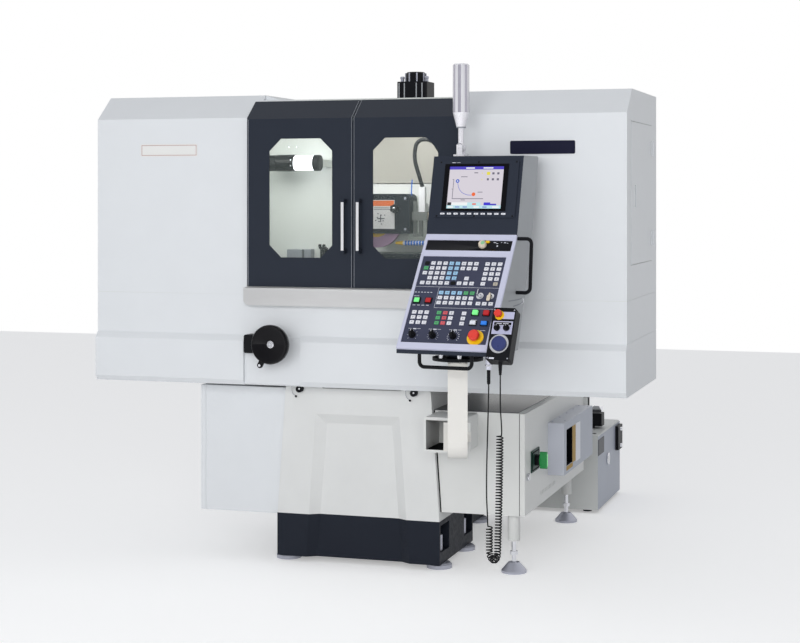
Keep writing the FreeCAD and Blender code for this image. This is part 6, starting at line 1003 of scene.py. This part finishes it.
# Hand pendant: places are from the top middle of its face
def dressHandUnit():
    makeBlocks("handLabel", [((-4, -41, 0), (38, -15, 0.4))], handSpace, "labelFilm", "pendant", 0.1)
    makeBlocks("handPlate", [((-35, -96, 0), (37, -49, 0.5))], handSpace, "labelFilm", "pendant", 0.1)
    makeBlocks("handBar", [((-30, -64, 0.5), (32, -52, 0.8))], handSpace, "bezelBlack", "pendant", 0)
    makeBlocks("handBarRim", [((-30, -53, 0.8), (32, -52, 1)), ((-30, -64, 0.8), (32, -63, 1)),
                              ((-21, -59.4, 0.8), (-3, -56.6, 1)), ((2, -59.4, 0.8), (22, -56.6, 1)),
                              ((-30, -186, 0.2), (-12, -180, 0.5))], handSpace, "printWhite", "pendant",
               0)
    marks = []
    for x in (-17, 17):
        for i in range(5):
            angle = math.radians(-60 + 30 * i)
            spot = (x + 15 * math.sin(angle), -74 + 15 * math.cos(angle))
            marks.append(around(spot, 1.1, 1.1, 0.5, 0.7))
    makeBlocks("selectorTicks", marks, handSpace, "printDark", "pendant", 0)
    makeTurned("handStopRing", [(8, 0), (16.5, 0), (16.5, 1.4), (15.5, 2.2), (8, 2.2)], [((-15, -28, 0), (0, 0, 1))],
               handSpace, "yellowPlastic", "pendant", 0, 40)
    # Chrome ring with fine graduations around the dial
    paintFaces("hand_pendant", "chromePlate", [((-35, -167, 0.1), (35, -97, 5.5))], handSpace)
    ticks = bmesh.new()
    for i in range(50):
        long = 3.2 if i % 5 == 0 else 2
        place = Matrix.Translation((0, -132, 5)) @ turned(7.2 * i, "Z")
        addBox(ticks, (-0.35, 33.2 - long, 0), (0.35, 33.2, 0.15), place)
    makePiece("dialScale", ticks, handSpace, palette["printDark"], "pendant")
    makeTurned("dialRim", [(22.8, 0), (25.6, 0), (25.6, 0.4), (22.8, 0.8)], [((0, -132, 12.3), (0, 0, 1))], handSpace,
               "dialBlue", "jog_dial", 0, 48)
    for body, x in (("axis_dial", -17), ("step_dial", 17)):
        makeBlocks(body + "Line", [((x - 0.6, -70, 14), (x + 0.6, -63.5, 14.3))], handSpace, "printWhite", body,
                   0)
    # Ribbed boot where the cord leaves
    ribs = [(4.9, 0)]
    for i in range(9):
        z = -4.6 * i
        ribs += [(7.9 - 0.3 * i, z), (7.9 - 0.3 * i, z - 2.6), (6.6 - 0.25 * i, z - 3), (6.6 - 0.25 * i, z - 4.4)]
    ribs.append((3, -42))
    makeTurned("bootRibs", [(r, -z) for r, z in ribs], [((224, -174, 894), (0, 0, -1))], pendantSpace, "blackPlastic",
               "pendant", 0, 24)
    makeTurned("unitScrews", [(0, 0), (2.6, 0), (2.6, 0.6), (0, 0.9)],
               [((x, y, 0), (0, 0, 1)) for x in (-36, 36) for y in (-8, -182)], handSpace, "zincCasting", "pendant",
               0, 14)


def dressArm():
    # Black swivel disc under the pendant, with two bright pins, the cord's socket and the hanging hook
    paintFaces("pendant_arm", "matBlack", [((455, -520, 868), (650, -326, 887))])
    makeTurned("swivelPins", [(0, 0), (8.5, 0), (8.5, 16), (10, 17), (10, 17.9), (0, 17.9)],
               [((512, -495, 884.2), (0, 0, 1)), ((578, -499, 884.2), (0, 0, 1))], machine, "chromePlate", "pendant",
               0, 24)
    paintFaces("pendant_fittings", "silverSocket", [((138, -116, 853), (170, -84, 902.5))], pendantSpace)
    makeTurned("socketRings", [(12.6, 0), (14, 0.6), (14, 5.4), (12.6, 6)],
               [((154, -100, 886), (0, 0, 1)), ((154, -100, 866), (0, 0, 1))], pendantSpace, "chromePlate", "pendant",
               0, 28)
    makeHose("hookWire", [(176, 40, 1082), (200, 36, 1086), (226, 20, 1092), (240, 6, 1096), (246, 2, 1088),
                          (238, 6, 1078), (214, 16, 1070), (200, 24, 1066)], 2.2, pendantSpace,
             palette["chromePlate"], "pendant")
    # Painted shade inside the square tube of the arm bracket
    paintFaces("arm_bracket", "shadowBlack", [((331, -73.5, 495), (472.5, 60, 608))])
    makeBlocks("tubeRim", [((319.5, -74.6, 613), (483.5, -74, 618))], machine, "cabinetEnamel", "machine_frame",
               0.2)


def dressTower():
    # Clear lens over silvered reflectors, with dark streaks of painted reflection every eighth of a turn
    for i in range(8):
        turn = math.radians(45 * i - 78)
        paintFaces("signal_tower", "lensReflectionStreak", [((-135, 245, 1762), (-65, 315, 1936))], pendantSpace,
                   (math.cos(turn), math.sin(turn), 0), 0.985)
    makeTurned("towerCollar", [(17.2, 0), (18, 0.5), (18, 4), (17.2, 4.5)], [((-99, 280, 1703), (0, 0, 1))],
               pendantSpace, "greyEnamel", "tower", 0, 32)
    paintFaces("signal_tower", "towerWhite", [((-135, 245, 1600), (-65, 315, 1761))], pendantSpace)
    makeTurned("towerPivotRing", [(6, 0), (9, 0), (9, 1.5), (7.4, 2.4), (6, 2.4)], [((-99, 266.2, 1639), (0, -1, 0))],
               pendantSpace, "chromePlate", "pendant", 0, 28)
    makeTurned("towerCap", [(0, 0), (26, 0), (26, 1), (0, 1.6)], [((-99, 280, 1939.5), (0, 0, 1))], pendantSpace,
               "silverSocket", "tower", 0, 32)


paintPanel()
printKeyMarks()
printPanel()
makePanelPieces()
makeDisplay()
dressHandUnit()
dressArm()
dressTower()
print("pendant detailed")


# Light: a pale even room, one wide soft lamp from the front, a narrow one that the sill mirrors, and the
# work zone's own two
def makeLight(name, place, target, size, power, colour, mirrored=True):
    lamp = bpy.data.lights.new(name, "AREA")
    lamp.shape = "RECTANGLE"
    lamp.size, lamp.size_y = size
    lamp.energy = power
    lamp.color = toLinear(colour)[:3]
    holder = bpy.data.objects.new(name, lamp)
    holder.matrix_world = aim(Vector(place), Vector(place) - Vector(target))
    holder.visible_glossy = mirrored
    bpy.context.scene.collection.objects.link(holder)


def makeWorld():
    # The background is white to the camera, to glossy rays and to glass, and a softer grey as light. Towards the
    # front glossy rays find a darker studio, so that steel and chrome get their contrast.
    world = bpy.data.worlds.new("studio")
    bpy.context.scene.world = world
    world.use_nodes = True
    tree = world.node_tree
    lit = tree.nodes["Background"]
    lit.inputs["Color"].default_value = toLinear("#F2F4F8")
    lit.inputs["Strength"].default_value = 0.5
    seen = addNode(tree, "ShaderNodeBackground", {"Color": (1, 1, 1, 1), "Strength": 1.0})
    ray = addNode(tree, "ShaderNodeLightPath")
    straight = addNode(tree, "ShaderNodeMath", {"operation": "MAXIMUM"},
                       {0: ray.outputs["Is Camera Ray"], 1: ray.outputs["Is Transmission Ray"]})
    place = addNode(tree, "ShaderNodeTexCoord")
    way = addNode(tree, "ShaderNodeSeparateXYZ", None, {"Vector": place.outputs["Generated"]})
    front = addNode(tree, "ShaderNodeMapRange", {"From Min": -0.95, "From Max": -0.2, "To Min": 0.12, "To Max": 0.9},
                    {"Value": way.outputs["Y"]})
    glossy = addNode(tree, "ShaderNodeMath", {"operation": "MULTIPLY"},
                     {0: ray.outputs["Is Glossy Ray"], 1: front.outputs["Result"]})
    share = addNode(tree, "ShaderNodeMath", {"operation": "MAXIMUM"},
                    {0: straight.outputs["Value"], 1: glossy.outputs["Value"]})
    blend = addNode(tree, "ShaderNodeMixShader", None,
                    {0: share.outputs["Value"], 1: lit.outputs["Background"], 2: seen.outputs["Background"]})
    tree.links.new(blend.outputs["Shader"], tree.nodes["World Output"].inputs["Surface"])


def makeFloor():
    # Pale studio floor: a share of plain white is added for the eye alone, so the machine's shadow stays
    material, tree, shader = newMaterial("paleFloor", {"Roughness": 0.9, "Specular IOR Level": 0.1,
                                                       "Base Color": toLinear("#F4F4F4"),
                                                       "Emission Color": (1, 1, 1, 1)})
    ray = addNode(tree, "ShaderNodeLightPath")
    seen = addNode(tree, "ShaderNodeMath", {"operation": "MAXIMUM"},
                   {0: ray.outputs["Is Camera Ray"], 1: ray.outputs["Is Transmission Ray"]})
    mirrored = addNode(tree, "ShaderNodeMath", {"operation": "MAXIMUM"},
                       {0: seen.outputs["Value"], 1: ray.outputs["Is Glossy Ray"]})
    added = addNode(tree, "ShaderNodeMath", {"operation": "MULTIPLY", 1: 0.34}, {0: mirrored.outputs["Value"]})
    tree.links.new(added.outputs["Value"], shader.inputs["Emission Strength"])
    bm = bmesh.new()
    addBox(bm, (-9, -9, -0.02), (9, 9, 0))
    mesh = bpy.data.meshes.new("floor")
    bm.to_mesh(mesh)
    bm.free()
    mesh.materials.append(material)
    floor = bpy.data.objects.new("floor", mesh)
    bpy.context.scene.collection.objects.link(floor)


makeWorld()
makeFloor()
makeLight("keyLamp", (1.0, -8.2, 2.4), (0.1, 0, 1.1), (6.0, 3.0), 300, "#FFFFFF", mirrored=False)
makeLight("sillLamp", (-1.75, -5.6, 0.75), (0, -0.7, 1.05), (0.35, 1.0), 3, "#FFFFFF")
makeLight("leftRoomLamp", (-0.55, -0.45, 1.72), (-0.5, 0, 1.2), (0.5, 0.3), 2.0, "#FBFFFA")
makeLight("rightRoomLamp", (0.12, -0.52, 1.76), (0.12, -0.2, 1.3), (0.5, 0.25), 2.5, "#FCFCFA")
bpy.context.scene.view_settings.view_transform = "Standard"
print("studio lit")
